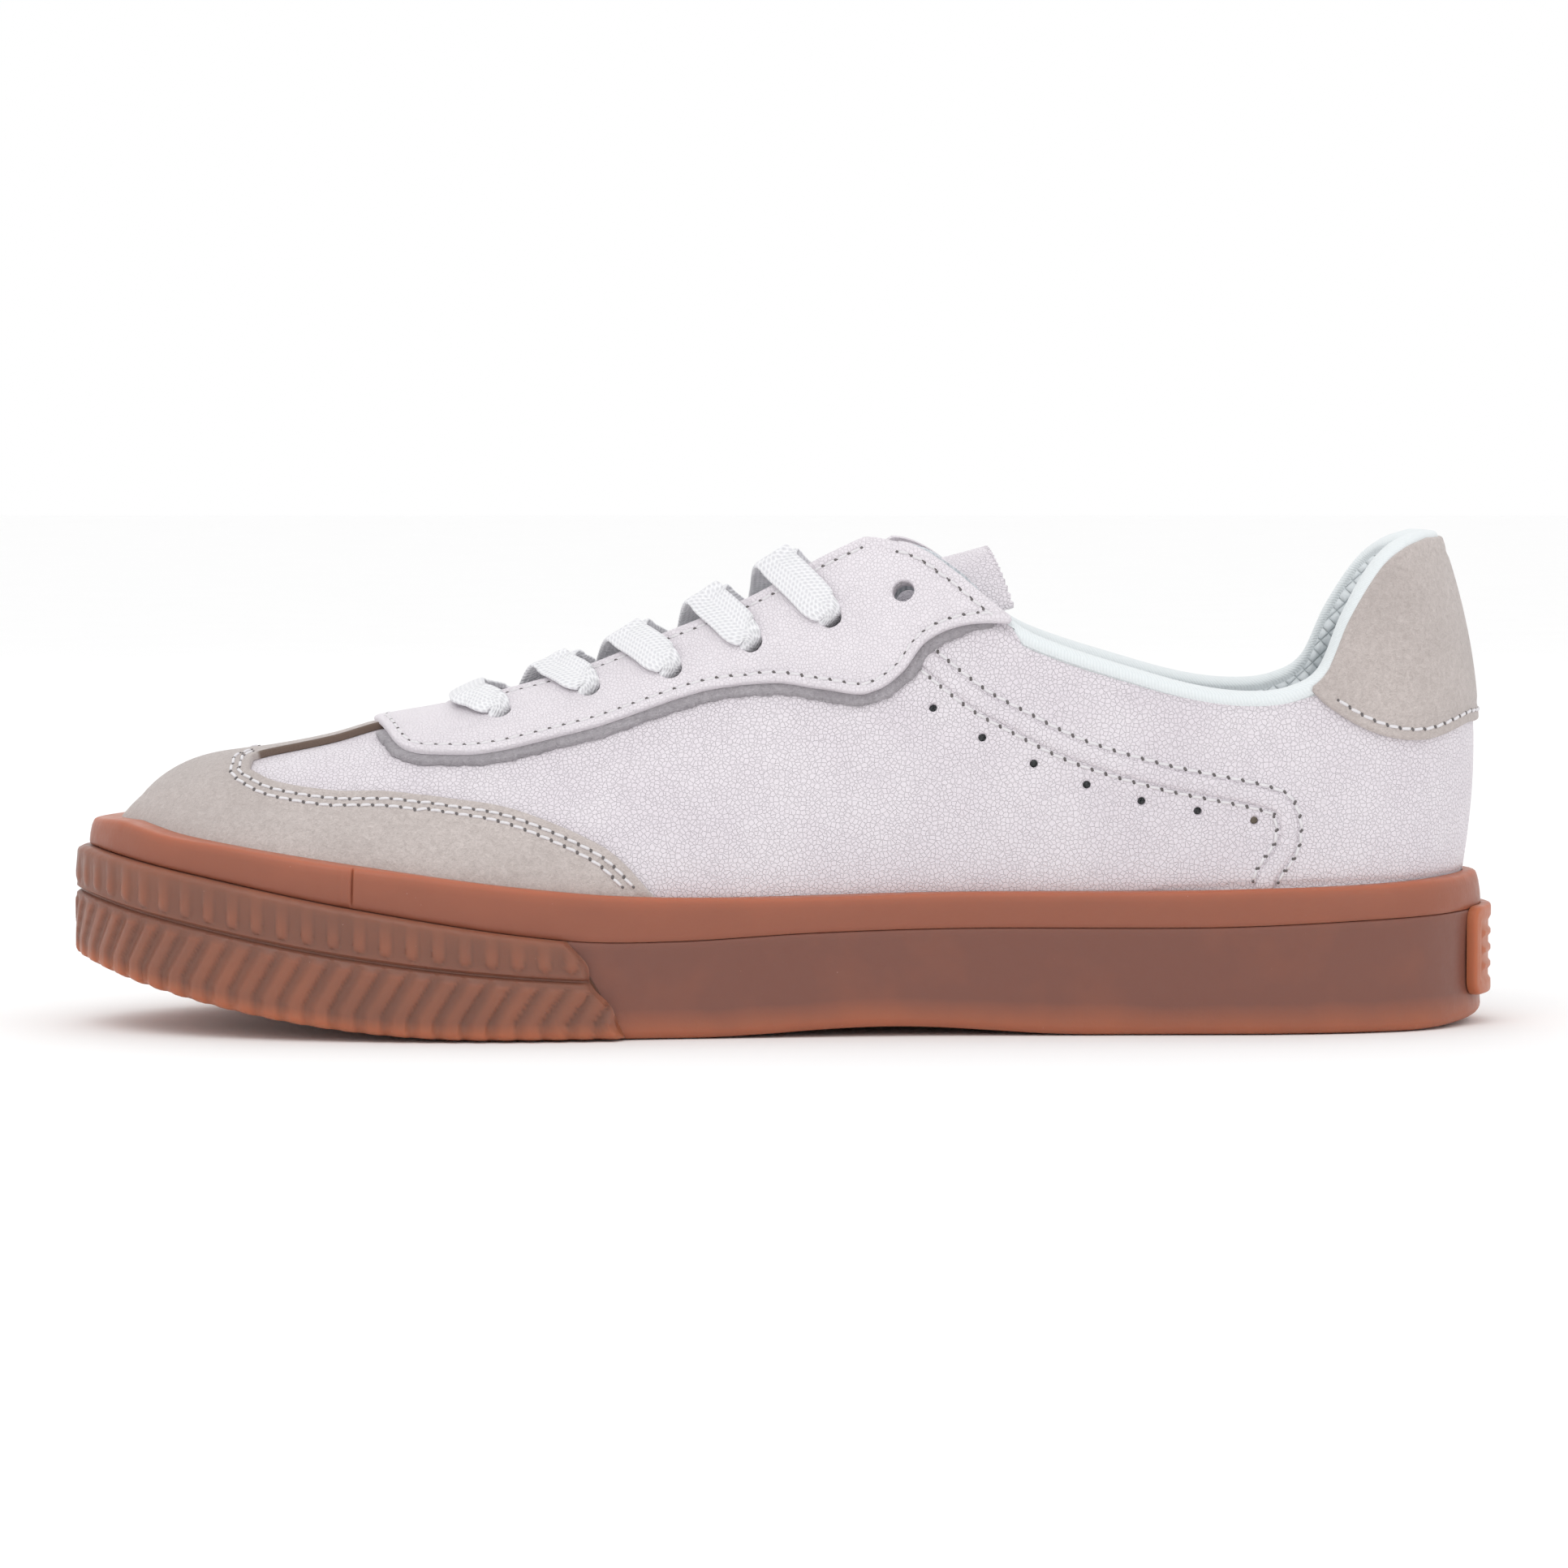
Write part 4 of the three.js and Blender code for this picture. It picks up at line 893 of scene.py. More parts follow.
FINISHES = {
    "white_leather": (leather, (0.755, 0.71, 0.75), (0.72, 0.67, 0.715)),
    "eyestay_leather": (leather, (0.78, 0.735, 0.775), (0.745, 0.70, 0.74), 0.75, 0.07),
    "suede": (nap, (0.44, 0.385, 0.365), (0.69, 0.62, 0.595), 0.5, 0.15),
    "raw_split": (nap, (0.30, 0.275, 0.30), (0.56, 0.53, 0.56), 0.6, 0.3),
    "gum": (rubber, (0.40, 0.125, 0.06), (0.20, 0.078, 0.056)),
    "gum_band": (rubber, (0.42, 0.128, 0.066), (0.29, 0.096, 0.056)),
    "gum_bumper": (rubber, (0.42, 0.135, 0.064), (0.20, 0.082, 0.054)),
    "label_gum": (rubber, (0.50, 0.15, 0.06), (0.38, 0.11, 0.05)),
    "filler_foam": (open_foam, (0.64, 0.62, 0.58)),
    "insole_foam": (open_foam, (0.68, 0.66, 0.6)),
    "collar_foam": (open_foam, (0.72, 0.69, 0.5)),
    "board": (fibre_board, (0.36, 0.27, 0.19)),
    "stiffener": (fibre_board, (0.42, 0.36, 0.28)),
    "insole_textile": (plain_weave, (0.74, 0.77, 0.80), (0.52, 0.56, 0.60)),
    "lining": (quilting, (0.60, 0.66, 0.68), (0.80, 0.84, 0.86)),
    "binding": (ribbed_tape, (0.74, 0.785, 0.80), (0.80, 0.84, 0.855)),
    "cotton": (flat_braid, (0.74, 0.74, 0.77), (0.92, 0.92, 0.94)),
    "thread": (speckled, (0.62, 0.60, 0.62), (0.88, 0.86, 0.88), 0.3, 3, 0.6, 0.7, 0.08),
    # Near-black dots at the needle holes: painted shade down in the holes.
    "needle_hole": (speckled, (0.10, 0.09, 0.09), (0.22, 0.2, 0.2), 0.4, 3, 0.55, 0.95, 0),
    "aglet_plastic": (speckled, (0.80, 0.80, 0.82), (0.88, 0.88, 0.9), 1.2, 3, 0.55, 0.25, 0.02),
    "pale_floor": (speckled, (0.97, 0.97, 0.97), (0.99, 0.99, 0.99), 40, 2, 0.55, 0.95, 0),
}
MATERIAL = {}
for finish_name, (recipe, *choices) in FINISHES.items():
    MATERIAL[finish_name] = bpy.data.materials.new(finish_name)
    MATERIAL[finish_name].use_nodes = True
    recipe(Nodes(MATERIAL[finish_name]), *choices)


# ------------------------------------------------------------------ the camera and the lace

VIEW_FIELD = 0.324
VIEW_DISTANCE = 1.4
VIEW_RISE = math.radians(3.8)
VIEW_AIM = (0.0, 0.042, 0.0526)


def set_camera():
    data = bpy.data.cameras.new("camera")
    data.sensor_width = 36
    data.lens = data.sensor_width * VIEW_DISTANCE / VIEW_FIELD
    data.clip_end = 50
    camera = add_object("camera", data)
    back = Vector((0, math.cos(VIEW_RISE), math.sin(VIEW_RISE)))
    camera.location = Vector(VIEW_AIM) + back * VIEW_DISTANCE
    camera.rotation_euler = back.to_track_quat("Z", "Y").to_euler()
    bpy.context.scene.camera = camera


tongue_top = profile(
    [(-42.7, 100.4), (-21.5, 94.4), (-10, 89.2), (6, 81.6), (23, 73.8), (40, 65.8)]
    + [(59, 60.2), (73, 58.2)]
)
tongue_half = profile([(-42.7, 20), (-12, 17.8), (0, 19), (40, 19.5), (73, 18)])
tongue_arch = profile([(-42.7, 13), (0, 13), (40, 9), (73, 6.5)])


def tongue_height(x, off):
    """The tongue's top at x and at a distance off its middle."""
    beyond = np.maximum(-42.7 - x, 0) * 0.28
    side = np.abs(np.asarray(off) / tongue_half(x)) ** 2.4
    return tongue_top(x) + beyond - tongue_arch(x) * side


LACE_OVER = EYESTAY_LAYER[1] + LACE_THICKNESS / 2
LACE_UNDER = INSIDE - GAP - 0.75
LACE_SLANT = 0.8
STRAP_STEP = 0.5
STRAP_SAMPLES = 40
throat_half = {
    1: profile([(x, medial) for x, medial, _ in THROAT]),
    -1: profile([(x, lateral) for x, _, lateral in THROAT]),
}


def strap_paths(slant):
    """Lines up the leather leaning forwards by slant, by side and by eyelet."""
    places = [np.vstack([from_side(EYELETS, side) for side, _ in SIDES])]
    for _ in range(STRAP_SAMPLES):
        p, t = places[-1].T
        rising = unit(dome(p, t + 0.002) - dome(p, t - 0.002))
        forward = np.cross(rising, dome_normal(p, t))
        forward *= np.sign(forward[:, :1])
        step = rising + forward * slant
        step *= STRAP_STEP / np.linalg.norm(step, axis=1, keepdims=True)
        places.append(nudge(p, np.minimum(t, 0.97), step))
    lines = np.stack(places, 1)
    return {1: lines[: len(EYELETS)], -1: lines[len(EYELETS) :]}


OVER_PATHS, UNDER_PATHS = strap_paths(LACE_SLANT), strap_paths(0.0)


def on_path(paths, row, side, run, out):
    """A place run millimetres up a strap's line from its eyelet, out from the leather."""
    line = paths[side][row]
    p, t = read_at([run / STRAP_STEP], np.arange(len(line)), line)[0]
    return dome(p, t) + dome_normal(p, t) * out


def edge_run(paths, row, side):
    """How far up a strap's line the throat's edge is."""
    line = paths[side][row]
    places = dome(*line.T)
    off = np.abs(places[:, 1] - ridge_y(places[:, 0]))
    return STRAP_STEP * int((off < throat_half[side](places[:, 0])).argmax())


def across_strap(paths, row, side):
    """The way a strap's width points on the leather, always backwards."""
    line = paths[side][row]
    wide = np.cross(dome_normal(*line[6]), dome(*line[12]) - dome(*line[1]))
    return wide * -np.sign(wide[0]) / np.linalg.norm(wide)


# How a strap lies over the eyestay, and then under it: the run up its line in millimetres, the
# share of the run to the throat's edge, and the height above where it lies flat.
OVER_EDGE = ((1.0, 1.0, 0.8), (1.0, 0.55, 0.55), (2.8, 0.0, 0.35))
INTO_HOLE = ((1.1, LACE_OVER - 0.1), (0.2, 1.4), (0.0, -1.5), (0.1, LACE_UNDER + 1.3))
UNDER_EDGE = ((1.3, 0.0, 0.1), (0.0, 0.6, 0.0), (1.0, 1.0, 0.6))
BRIDGE_RUN = 4.5
BRIDGE_RISE = LACE_OVER + 1.1
LEAST_EDGE = 5.5


def half_lace(side):
    """Half the lacing from the middle of its front bar: places with the way its width points.

    Also gives where it enters its eyelets.
    """
    route, holes = [], []
    way = side
    for row in range(LACED):
        edge = max(edge_run(OVER_PATHS, row, way), LEAST_EDGE)
        wide = across_strap(OVER_PATHS, row, way)
        level = wide * (1, 0.3, 0.75)
        bridge = on_path(OVER_PATHS, row, way, edge + BRIDGE_RUN, BRIDGE_RISE)
        if row == 0:
            route.append((bridge[0] + 0.8, ridge_y(bridge[0]), bridge[2] + 0.8, -1, 0, 0.45))
        else:
            route.append((*cross, *(level * 0.5 + np.array([-0.5, 0, 0.2]))))
        route.append((*bridge, *level))
        for run, share, out in OVER_EDGE:
            spot = on_path(OVER_PATHS, row, way, edge * share + run, LACE_OVER + out)
            route.append((*spot, *wide))
        holes.append(on_path(OVER_PATHS, row, way, 0.0, LACE_OVER))
        for run, out in INTO_HOLE:
            route.append((*on_path(UNDER_PATHS, row, way, run, out), *wide))
        if row == LACED - 1:
            break
        edge = edge_run(UNDER_PATHS, row, way)
        under = across_strap(UNDER_PATHS, row, way)
        for run, share, out in UNDER_EDGE:
            spot = on_path(UNDER_PATHS, row, way, edge * share + run, LACE_UNDER + out)
            route.append((*spot, *under))
        edge = edge_run(OVER_PATHS, row + 1, -way)
        ahead = on_path(OVER_PATHS, row + 1, -way, edge + BRIDGE_RUN, BRIDGE_RISE)
        cross = (spot + ahead) / 2
        cross[2] += side * (LACE_THICKNESS / 2 + GAP)
        way = -way
    return np.array(route, float), holes


def cord_mesh(name, centre, wide, widths, depths, finish, nodes=(), sides=20):
    """A flat cord with rounded edges along centre. wide is the way that its width points."""
    along = unit(np.gradient(centre, axis=0))
    wide = unit(wide - along * (wide * along).sum(1, keepdims=True))
    up = np.cross(along, wide)
    turn = (np.arange(sides) + 0.5) / sides * 2 * np.pi
    c, s = np.cos(turn), np.sin(turn)
    x = np.sign(c) * np.abs(c) ** 0.55
    y = np.sign(s) * np.abs(s) ** 0.8
    points = (
        centre[:, None]
        + wide[:, None] * (x[None, :, None] * widths[:, None, None] / 2)
        + up[:, None] * (y[None, :, None] * depths[:, None, None] / 2)
    )
    obj = add_mesh(name, points.reshape(-1, 3), tube_faces(len(centre), sides), finish, nodes)
    grain = np.zeros(points.shape)
    grain[..., 0] = x * LACE_WIDTH / 2
    grain[..., 1] = run_along(centre)[:, None]
    set_attribute(obj, "grain", grain.reshape(-1, 3))
    return obj


def smooth_route(route, step):
    """Places along a route about a step apart, and whatever else the route's rows hold."""
    fine = through(route)
    run = run_along(fine[:, :3])
    fine = read_at(np.linspace(0, run[-1], int(run[-1] / step) + 1), run, fine)
    return fine[:, :3], fine[:, 3:]


def folded(distance):
    """How far a lace is folded up at a distance from the eyelet that it goes into."""
    u = np.clip((distance - 0.9) / 4.0, 0, 1)
    return 1 - np.sqrt(1 - (1 - u) ** 2)


def make_lace():
    (left, left_holes), (right, right_holes) = half_lace(1), half_lace(-1)
    route = np.vstack([left[::-1], right[1:]])
    centre, wide = smooth_route(route, 0.7)
    off = centre[:, 1] - ridge_y(centre[:, 0])
    over_tongue = np.abs(off) < tongue_half(centre[:, 0])
    lowest = tongue_height(centre[:, 0], off) + LACE_THICKNESS * 0.75
    lift = np.where(over_tongue, np.maximum(lowest - centre[:, 2], 0), 0)
    centre[:, 2] += eased(lift)
    gaps = np.array([np.linalg.norm(centre - hole, axis=1) for hole in left_holes + right_holes])
    fold = folded(gaps.min(0))
    widths = LACE_WIDTH + (FOLDED_WIDTH - LACE_WIDTH) * fold
    depths = LACE_THICKNESS + (FOLDED_DEPTH - LACE_THICKNESS) * fold
    cord_mesh("laces", centre, wide, widths, depths, "cotton", ["lace"])


def board_top(x):
    return feather(x) + BOARD_THICKNESS


def foam_top(x):
    return board_top(x) + GAP + FOAM_THICKNESS


def insole_top(x):
    return foam_top(x) + GAP + COVER_THICKNESS


# The tail's way down the quarter, as x and z from its eyelet and how far in from the lining,
# and then along the insole, as x and the distance off its middle.
TAIL_DOWN = ((-1, -5, 1.5), (-3, -13, 1.2), (-5, -27, 1.3), (-5, -38, 1.5), (-3, -47, 2.6))
TAIL_DOWN += ((0, -53, 5),)
TAIL_FORWARD = ((-1, 19.5), (8, 17), (18, 16), (30, 17), (42, 19), (54, 20), (66, 19), (78, 16))
TAIL_FORWARD += ((88, 13),)
AGLET_LENGTH = 20.0
AGLET_WIDTH = 3.1


def tail_route(side):
    """The tail goes down inside the quarter and lies forward on the insole."""
    last = LACED - 1
    route = [on_path(UNDER_PATHS, last, side, 0.1, LACE_UNDER + 1.3)]
    route.append(on_path(UNDER_PATHS, last, side, 0.0, LACE_UNDER - 1.2))
    for dx, dz, away in TAIL_DOWN:
        p, t = from_side([(EYELETS[last][0] + dx, EYELETS[last][1] + dz)], side)[0]
        route.append(dome(p, t) + dome_normal(p, t) * (INSIDE - away))
    for x, off in TAIL_FORWARD:
        route.append((x, ridge_y(x) + side * off, insole_top(x) + GAP + 0.75))
    return np.array(route)


def make_tail(side, word):
    route = tail_route(side)
    centre, _ = smooth_route(route, 1.2)
    level = centre[:, 2] < insole_top(centre[:, 0]) + 3
    down = np.where(level[:, None], (0.0, 1.0, 0.01), (1.0, 0.0, 0.2))
    wide = np.stack([eased(column) for column in down.T], 1)
    run = np.linalg.norm(np.diff(centre, axis=0), axis=1).sum()
    at = np.linspace(0, run, len(centre))
    narrow = np.clip(1 - at / 14, 0, 1) + np.clip((at - run + 9) / 9, 0, 1)
    widths = LACE_WIDTH * 0.86 - 3.6 * narrow
    depths = LACE_THICKNESS + 0.9 * narrow
    nodes = ["lace_tail_" + word]
    tail = cord_mesh("lace_end_" + word, centre, wide, widths, depths, "cotton", nodes)
    tip = make_aglet(route, word)


def make_aglet(route, word):
    """A clear tip rolled round the lace's end."""
    along = unit(route[-1] - route[-2])
    steps = np.linspace(0, AGLET_LENGTH, 24)
    centre = route[-1] - along * 1.5 + along * steps[:, None]
    centre[:, 2] = insole_top(centre[:, 0]) + GAP + 1.6
    taper = np.clip((AGLET_LENGTH - steps) / 2.5, 0.25, 1) ** 0.5
    wide = np.tile([0.0, 1.0, 0.0], (len(centre), 1))
    size = AGLET_WIDTH * np.minimum(taper, np.clip(steps / 0.6 + 0.8, 0, 1))
    nodes = ["aglet_" + word]
    return cord_mesh("lace_tip_" + word, centre, wide, size, size, "aglet_plastic", nodes)


# ------------------------------------------------------------------ rubber


def ring_row(ps, out, height):
    """A row of points round the wall. height is a function of x, or heights."""
    place = wall(ps, out)
    return np.column_stack([place, height(place[:, 0]) if callable(height) else height])


def surface_at(ps, height, out):
    """Where the upper is at height(x), moved out, in plan."""
    line = level_line(ps, height)
    return dome(*line.T) + dome_normal(*line.T) * np.asarray(out)[..., None]


def joined_rows(name, rows, finish, nodes=()):
    """A closed ring round the shoe through (points, glow) rows, the last joined to the first."""
    points = np.array([row for row, _ in rows])
    faces = grid_faces(*points.shape[:2], True, True)
    obj = add_mesh(name, points.reshape(-1, 3), faces, finish, nodes)
    set_attribute(obj, "glow", np.repeat([glow for _, glow in rows], points.shape[1]))
    return obj


ROUND = np.linspace(0, 1, 721)[:-1]
SLAB_STATIONS = np.linspace(0, 1, 361)[:-1]
FOOT_ROUND = 1.8
# The band's section: out from the wall, the share of its height, and its glow.
BAND_SECTION = [
    (-3.4, 0.0, 0.4), (-0.35, 0.0, 0.2), (-0.12, 0.05, 0.0), (-0.05, 0.14, 0.0),
    (-0.2, 0.4, 0.0), (-0.55, 0.7, 0.1), (-0.9, 0.86, 0.4), (-1.2, 0.94, 0.8),
    (-1.65, 0.985, 1.0), (-2.2, 1.0, 1.0),
]


def make_foxing():
    """The band round the shoe's top edge of rubber, with its butt joint on the inner side."""
    joint = station_at(88, 1, lambda x: 36.0)
    near = joint + np.linspace(-0.0035, 0.0035, 29)
    ps = np.sort(np.unique(np.concatenate([ROUND, near])))
    x = wall(ps)[:, 0]
    low, high = ledge_height(x) + 0.1, rim_height(x)
    gap = (ps - joint) * 900
    notch = 0.45 * bell(gap, 0, 0.35) - 0.22 * (np.abs(gap - 1.6) < 1.6)
    wobble = 0.12 * np.sin(ps * 97) + 0.1 * np.sin(ps * 41 + 2)
    suede_over = np.clip((x - 26) / 4, 0, 1) * 1.5
    rows = []
    for out, share, glow in BAND_SECTION:
        z = low + (high + wobble * share - low) * share
        rows.append((ring_row(ps, out - notch * min(share * 6, 1), z), glow))
    order = np.argsort(x)
    for share, glow in ((0.995, 1.0), (0.9, 0.8), (0.55, 0.3)):
        level = low + (high - low) * share
        xs, levels = x[order], level[order]
        touching = surface_at(ps, lambda at: np.interp(at, xs, levels), 0.15 + suede_over)
        touching[:, 2] = level
        rows.append((touching, glow))
    rows.append((ring_row(ps, -3.4, low + 1.2), 0.3))
    joined_rows("foxing_band", rows, "gum_band", ["foxing_strip"])


def make_sole():
    """The cup: its outer wall, the ledge under the band, the inside and the tread."""
    rows = []
    for turn in np.linspace(0, np.pi / 2, 6):
        rise = FOOT_ROUND * (1 - math.cos(turn))
        row = ring_row(ROUND, FOOT_ROUND * (math.sin(turn) - 1), lambda x: ground(x) + rise)
        rows.append((row, 0.95 - 0.15 * turn))
    for share in np.linspace(0.06, 1, 16):
        x = wall(ROUND, -0.35 * math.sin(math.pi * share))[:, 0]
        foot = ground(x) + FOOT_ROUND
        level = foot + (ledge_height(x) - 0.5 - foot) * share
        row = ring_row(ROUND, -0.35 * math.sin(math.pi * share), level)
        rows.append((row, max(0.75 - share * 3.0, 0.0)))
    rows.append((ring_row(ROUND, -0.25, lambda x: ledge_height(x) - 0.1), 0.0))
    rows.append((ring_row(ROUND, -0.6, ledge_height), 0.0))
    rows.append((ring_row(ROUND, -4.2, ledge_height), 0.2))
    rows.append((ring_row(ROUND, -4.5, lambda x: ledge_height(x) - 0.4), 0.2))
    rows.append((ring_row(ROUND, -4.5, lambda x: ground(x) + TREAD - 1.2), 0.3))
    rows.append((ring_row(ROUND, -6.5, lambda x: ground(x) + 1.6), 0.6))
    side_wall = joined_rows("sole_wall", rows, "gum")
    tread = make_tread()
    both = bmesh.new()
    both.from_mesh(tread.data)
    both.from_mesh(side_wall.data)
    both.to_mesh(tread.data)
    both.free()
    bpy.data.objects.remove(side_wall)
    tread.data.set_sharp_from_angle(angle=SHARP_ANGLE)


TREAD_CUT = 1.5


def crests(value, pitch):
    """Evenly spaced crests from 0 to 1."""
    return 0.5 + 0.5 * np.cos(2 * np.pi * value / pitch)


def tread_recess(x, y):
    """How far the tread's pattern is cut in: herringbone bars round a pivot disc."""
    zigzag = np.abs((y / 15) % 2 - 1) * 15
    bars = crests(x + 0.62 * zigzag, 6.6)
    far_from = np.hypot(x - 46, y + 3)
    cut = smoothstep(np.where(far_from < 24.3, crests(far_from, 5.4), bars), 0.52, 0.78)
    waist = smoothstep(x, -62, -56) * (1 - smoothstep(x, -4, 2))
    plate = smoothstep(1 - np.hypot((x + 29) / 22, (y + 4) / 13), 0, 0.06)
    recess = TREAD_CUT * cut * (1 - waist) + waist * (1.4 - 1.1 * plate)
    return np.maximum(recess, TREAD_CUT * bell(far_from, 25.6, 1.0) * (1 - waist))


def make_tread():
    loop = wall(SLAB_STATIONS, -2.2)
    loop = loop if _area(loop) > 0 else loop[::-1]
    wall_tree = _tree(wall(ROUND))

    def surface(points):
        inset = np.array([wall_tree.find((q[0], q[1], 0))[2] for q in points])
        inner = smoothstep(inset, 9.2, 10.4)
        cut = tread_recess(points[:, 0], points[:, 1]) * inner
        floor = ground(points[:, 0])
        under = floor + np.maximum(cut, 1.3 * bell(inset, 9.2, 0.9))
        return lambda far: np.column_stack([points, np.where(far < 1, under, floor + TREAD)])

    obj = panel("sole", [loop], surface, (5.0, 0.0), "gum", ["cupsole"], 1.3, 0.02, (0, 1.0, 2.2))
    x, _, z = places_of(obj).T
    set_attribute(obj, "glow", np.clip(0.8 - (z - ground(x)) * 0.25, 0.2, 0.8))
    return obj


BUMPER_OUT = 3.4
RIB_PITCH = 5.5
GROOVE_SHARE = 0.6
END_DRIFT = 11.5


def rib_relief(s, z, low, groove, high, to_toe):
    """Ribs on the toe bumper: drops above its groove and slanting bands below it."""
    across = s - np.round(s / RIB_PITCH) * RIB_PITCH
    foot = groove + 3.0
    reach = np.maximum(foot - z, 0)
    d = np.hypot(across, reach)
    drop = np.sqrt(np.maximum(1 - (d / 1.45) ** 2, 0))
    fade = np.clip(1.15 - (z - foot) / np.maximum(high - 1.2 - foot, 1), 0, 1)
    drop = 0.85 * drop * fade * (z > groove + 0.5)
    depth = np.clip((groove - z) / np.maximum(groove - low, 1), 0, 1)
    lean = 6.2 * np.minimum(depth / 0.72, 1) * to_toe
    m = ((s - lean) / RIB_PITCH) % 1.0
    m = np.where(to_toe > 0, m, 1 - m)
    band = smoothstep(m, 0.0, 0.12) * (1 - smoothstep(m, 0.42, 0.86))
    return drop + 0.95 * band * smoothstep(groove - z, 1.0, 2.2)


def make_bumper():
    """The toe bumper, worked out along s, the distance round it from the toe's middle."""
    rear = {side: station_at(44.7, side, lambda x: 20.6) for side, _ in SIDES}
    fine = np.linspace(rear[1] - 0.02, rear[-1] + 0.02, 3000)
    run = run_along(wall(fine, BUMPER_OUT))
    run -= np.interp(0.5, fine, run)
    start, end = np.interp([rear[1], rear[-1]], fine, run)
    s = np.linspace(start, end, int((end - start) / 0.5))
    ends = np.clip(1 - (s - start) / 14, 0, 1) - np.clip(1 - (end - s) / 14, 0, 1)
    below = np.linspace(0.0, GROOVE_SHARE - 0.035, 22)
    in_groove = np.linspace(GROOVE_SHARE - 0.02, GROOVE_SHARE + 0.035, 5)
    above = np.linspace(GROOVE_SHARE + 0.06, 1.0, 15)
    rows, glow = [], []
    for share in np.concatenate([below, in_groove, above]):
        here = s + (END_DRIFT * (share - 1) + 0.8 * math.sin(share * 14)) * ends
        ps = np.interp(here, run, fine)
        x = wall(ps)[:, 0]
        low, high = ground(x) + 0.3, ledge_height(x) - 0.1
        z = low + (high - low) * share
        groove = low + (high - low) * GROOVE_SHARE
        drawn_in = rounding(z - low, 1.8) + rounding(high - z, 1.3) + 0.95 * bell(z, groove, 0.42)
        drawn_in -= 0.25 * bell(np.abs(z - groove), 1.0, 0.45)
        relief = rib_relief(here, z, low, groove, high, np.where(here < 0, 1.0, -1.0))
        toe_fade = 0.55 + 0.45 * smoothstep(np.abs(here), 8, 30)
        end_gap = np.minimum(here - here[0], here[-1] - here)
        drawn_in += 1.4 * (1 - smoothstep(end_gap, 0, 1.6))
        rows.append(np.column_stack([wall(ps, BUMPER_OUT - 0.9 - drawn_in + relief * toe_fade), z]))
        light = np.clip(1 - (z - low) / 3.5, 0, 0.9) + 0.25 * np.clip(relief / 0.9, 0, 1)
        glow.append(np.clip(light + 0.3 * np.exp((z - high) / 1.2), 0, 1))
    for share, like in ((1.0, rows[-1]), (0.0, rows[0])):
        ps = np.interp(s + END_DRIFT * (share - 1) * ends, run, fine)
        rows.append(np.column_stack([wall(ps, -0.3), like[:, 2]]))
        glow.append(np.zeros(len(s)))
    faces = grid_faces(len(rows), len(s), True, False)
    ring = np.arange(len(rows)) * len(s)
    faces += [ring[::-1].tolist(), (ring + len(s) - 1).tolist()]
    obj = add_mesh("toe_guard", np.vstack(rows), faces, "gum_bumper", ["toe_bumper"])
    set_attribute(obj, "glow", np.concatenate(glow))
    reworked(obj)


def rounded_box(half_wide, low, high, radius, steps=8):
    """A loop round a rectangle with rounded corners, in the two directions of a wall."""
    loop = []
    for number, (right, up) in enumerate(((1, 1), (-1, 1), (-1, -1), (1, -1))):
        x = right * (half_wide - radius)
        y = high - radius if up > 0 else low + radius
        for k in range(steps + 1):
            turn = math.radians(90 * (number + k / steps))
            loop.append((x + radius * math.cos(turn), y + radius * math.sin(turn)))
    return np.array(loop)


def make_label():
    """The plate at the back of the heel, with a raised border and a plain ribbed field."""
    fine = np.linspace(-0.12, 0.12, 800)
    run = run_along(wall(fine))
    run -= np.interp(0.0, fine, run)
    loop = rounded_box(15.2, 6.2, 25.0, 3.0)
    field = rounded_box(12.6, 8.8, 22.4, 2.0)

    def surface(points):
        ps = np.interp(points[:, 0], run, fine)
        inset = np.where(inside(points, [field]), distance_to(points, [field]), 0)
        bars = smoothstep(crests(points[:, 1] - 15.6, 3.4), 0.45, 0.8)
        dip = 0.55 * smoothstep(inset, 0.0, 0.7) - 0.5 * bars * smoothstep(inset, 1.6, 2.4)
        return lambda far: np.column_stack(
            [wall(ps, far - np.where(far > 0.5, dip, 0.0)), points[:, 1]]
        )

    nodes = ["heel_label"]
    obj = panel("heel_plate", [loop], surface, (0.0, 2.2), "label_gum", nodes, 0.8, 0.7)
    set_attribute(obj, "glow", np.full(len(obj.data.vertices), 0.35))


# ------------------------------------------------------------------ under the foot




def slab(name, outer, low, high, finish, node, dish=None):
    """A flat piece inside an outline in plan, with rounded edges.

    A number for outer is how far out from the rubber wall the outline lies.
    """
    if np.ndim(outer) == 0:
        outer = wall(SLAB_STATIONS, outer)
    inward = ridge_point(np.clip(outer[:, 0], -108, 108)) - outer
    bevel = inward * 0.8 / 45

    def row(share, level):
        plan = outer + inward * share
        z = level(plan[:, 0])
        if dish is not None and level is not low:
            z = z + dish(plan[:, 0], 1 - share)
        return np.column_stack([plan, z])

    shares = (0.0, 0.03, 0.1, 0.25, 0.45, 0.65, 0.85, 1.0)
    rows = [row(share, low) for share in shares[::-1]]
    rows.append(row(0.0, lambda x: (low(x) + high(x)) / 2))
    rows += [row(share, high) for share in shares]
    for beside in (-1, 1):
        rows[len(shares) + beside][:, :2] += bevel
    faces = grid_faces(len(rows), len(outer), False, True)
    return reworked(add_mesh(name, np.vstack(rows), faces, finish, [node]), 2e-5)


INSOLE_INSET = -UPPER_INSET + INSIDE - 2 * GAP


def insole_dish(x, edge):
    """The insole's cover cups the heel. edge is 1 at its edge and 0 in its middle."""
    at_heel = 1 - smoothstep(x, -60, 0)
    return edge**3 * (0.6 + 2.4 * at_heel) - 0.25 * (1 - edge)


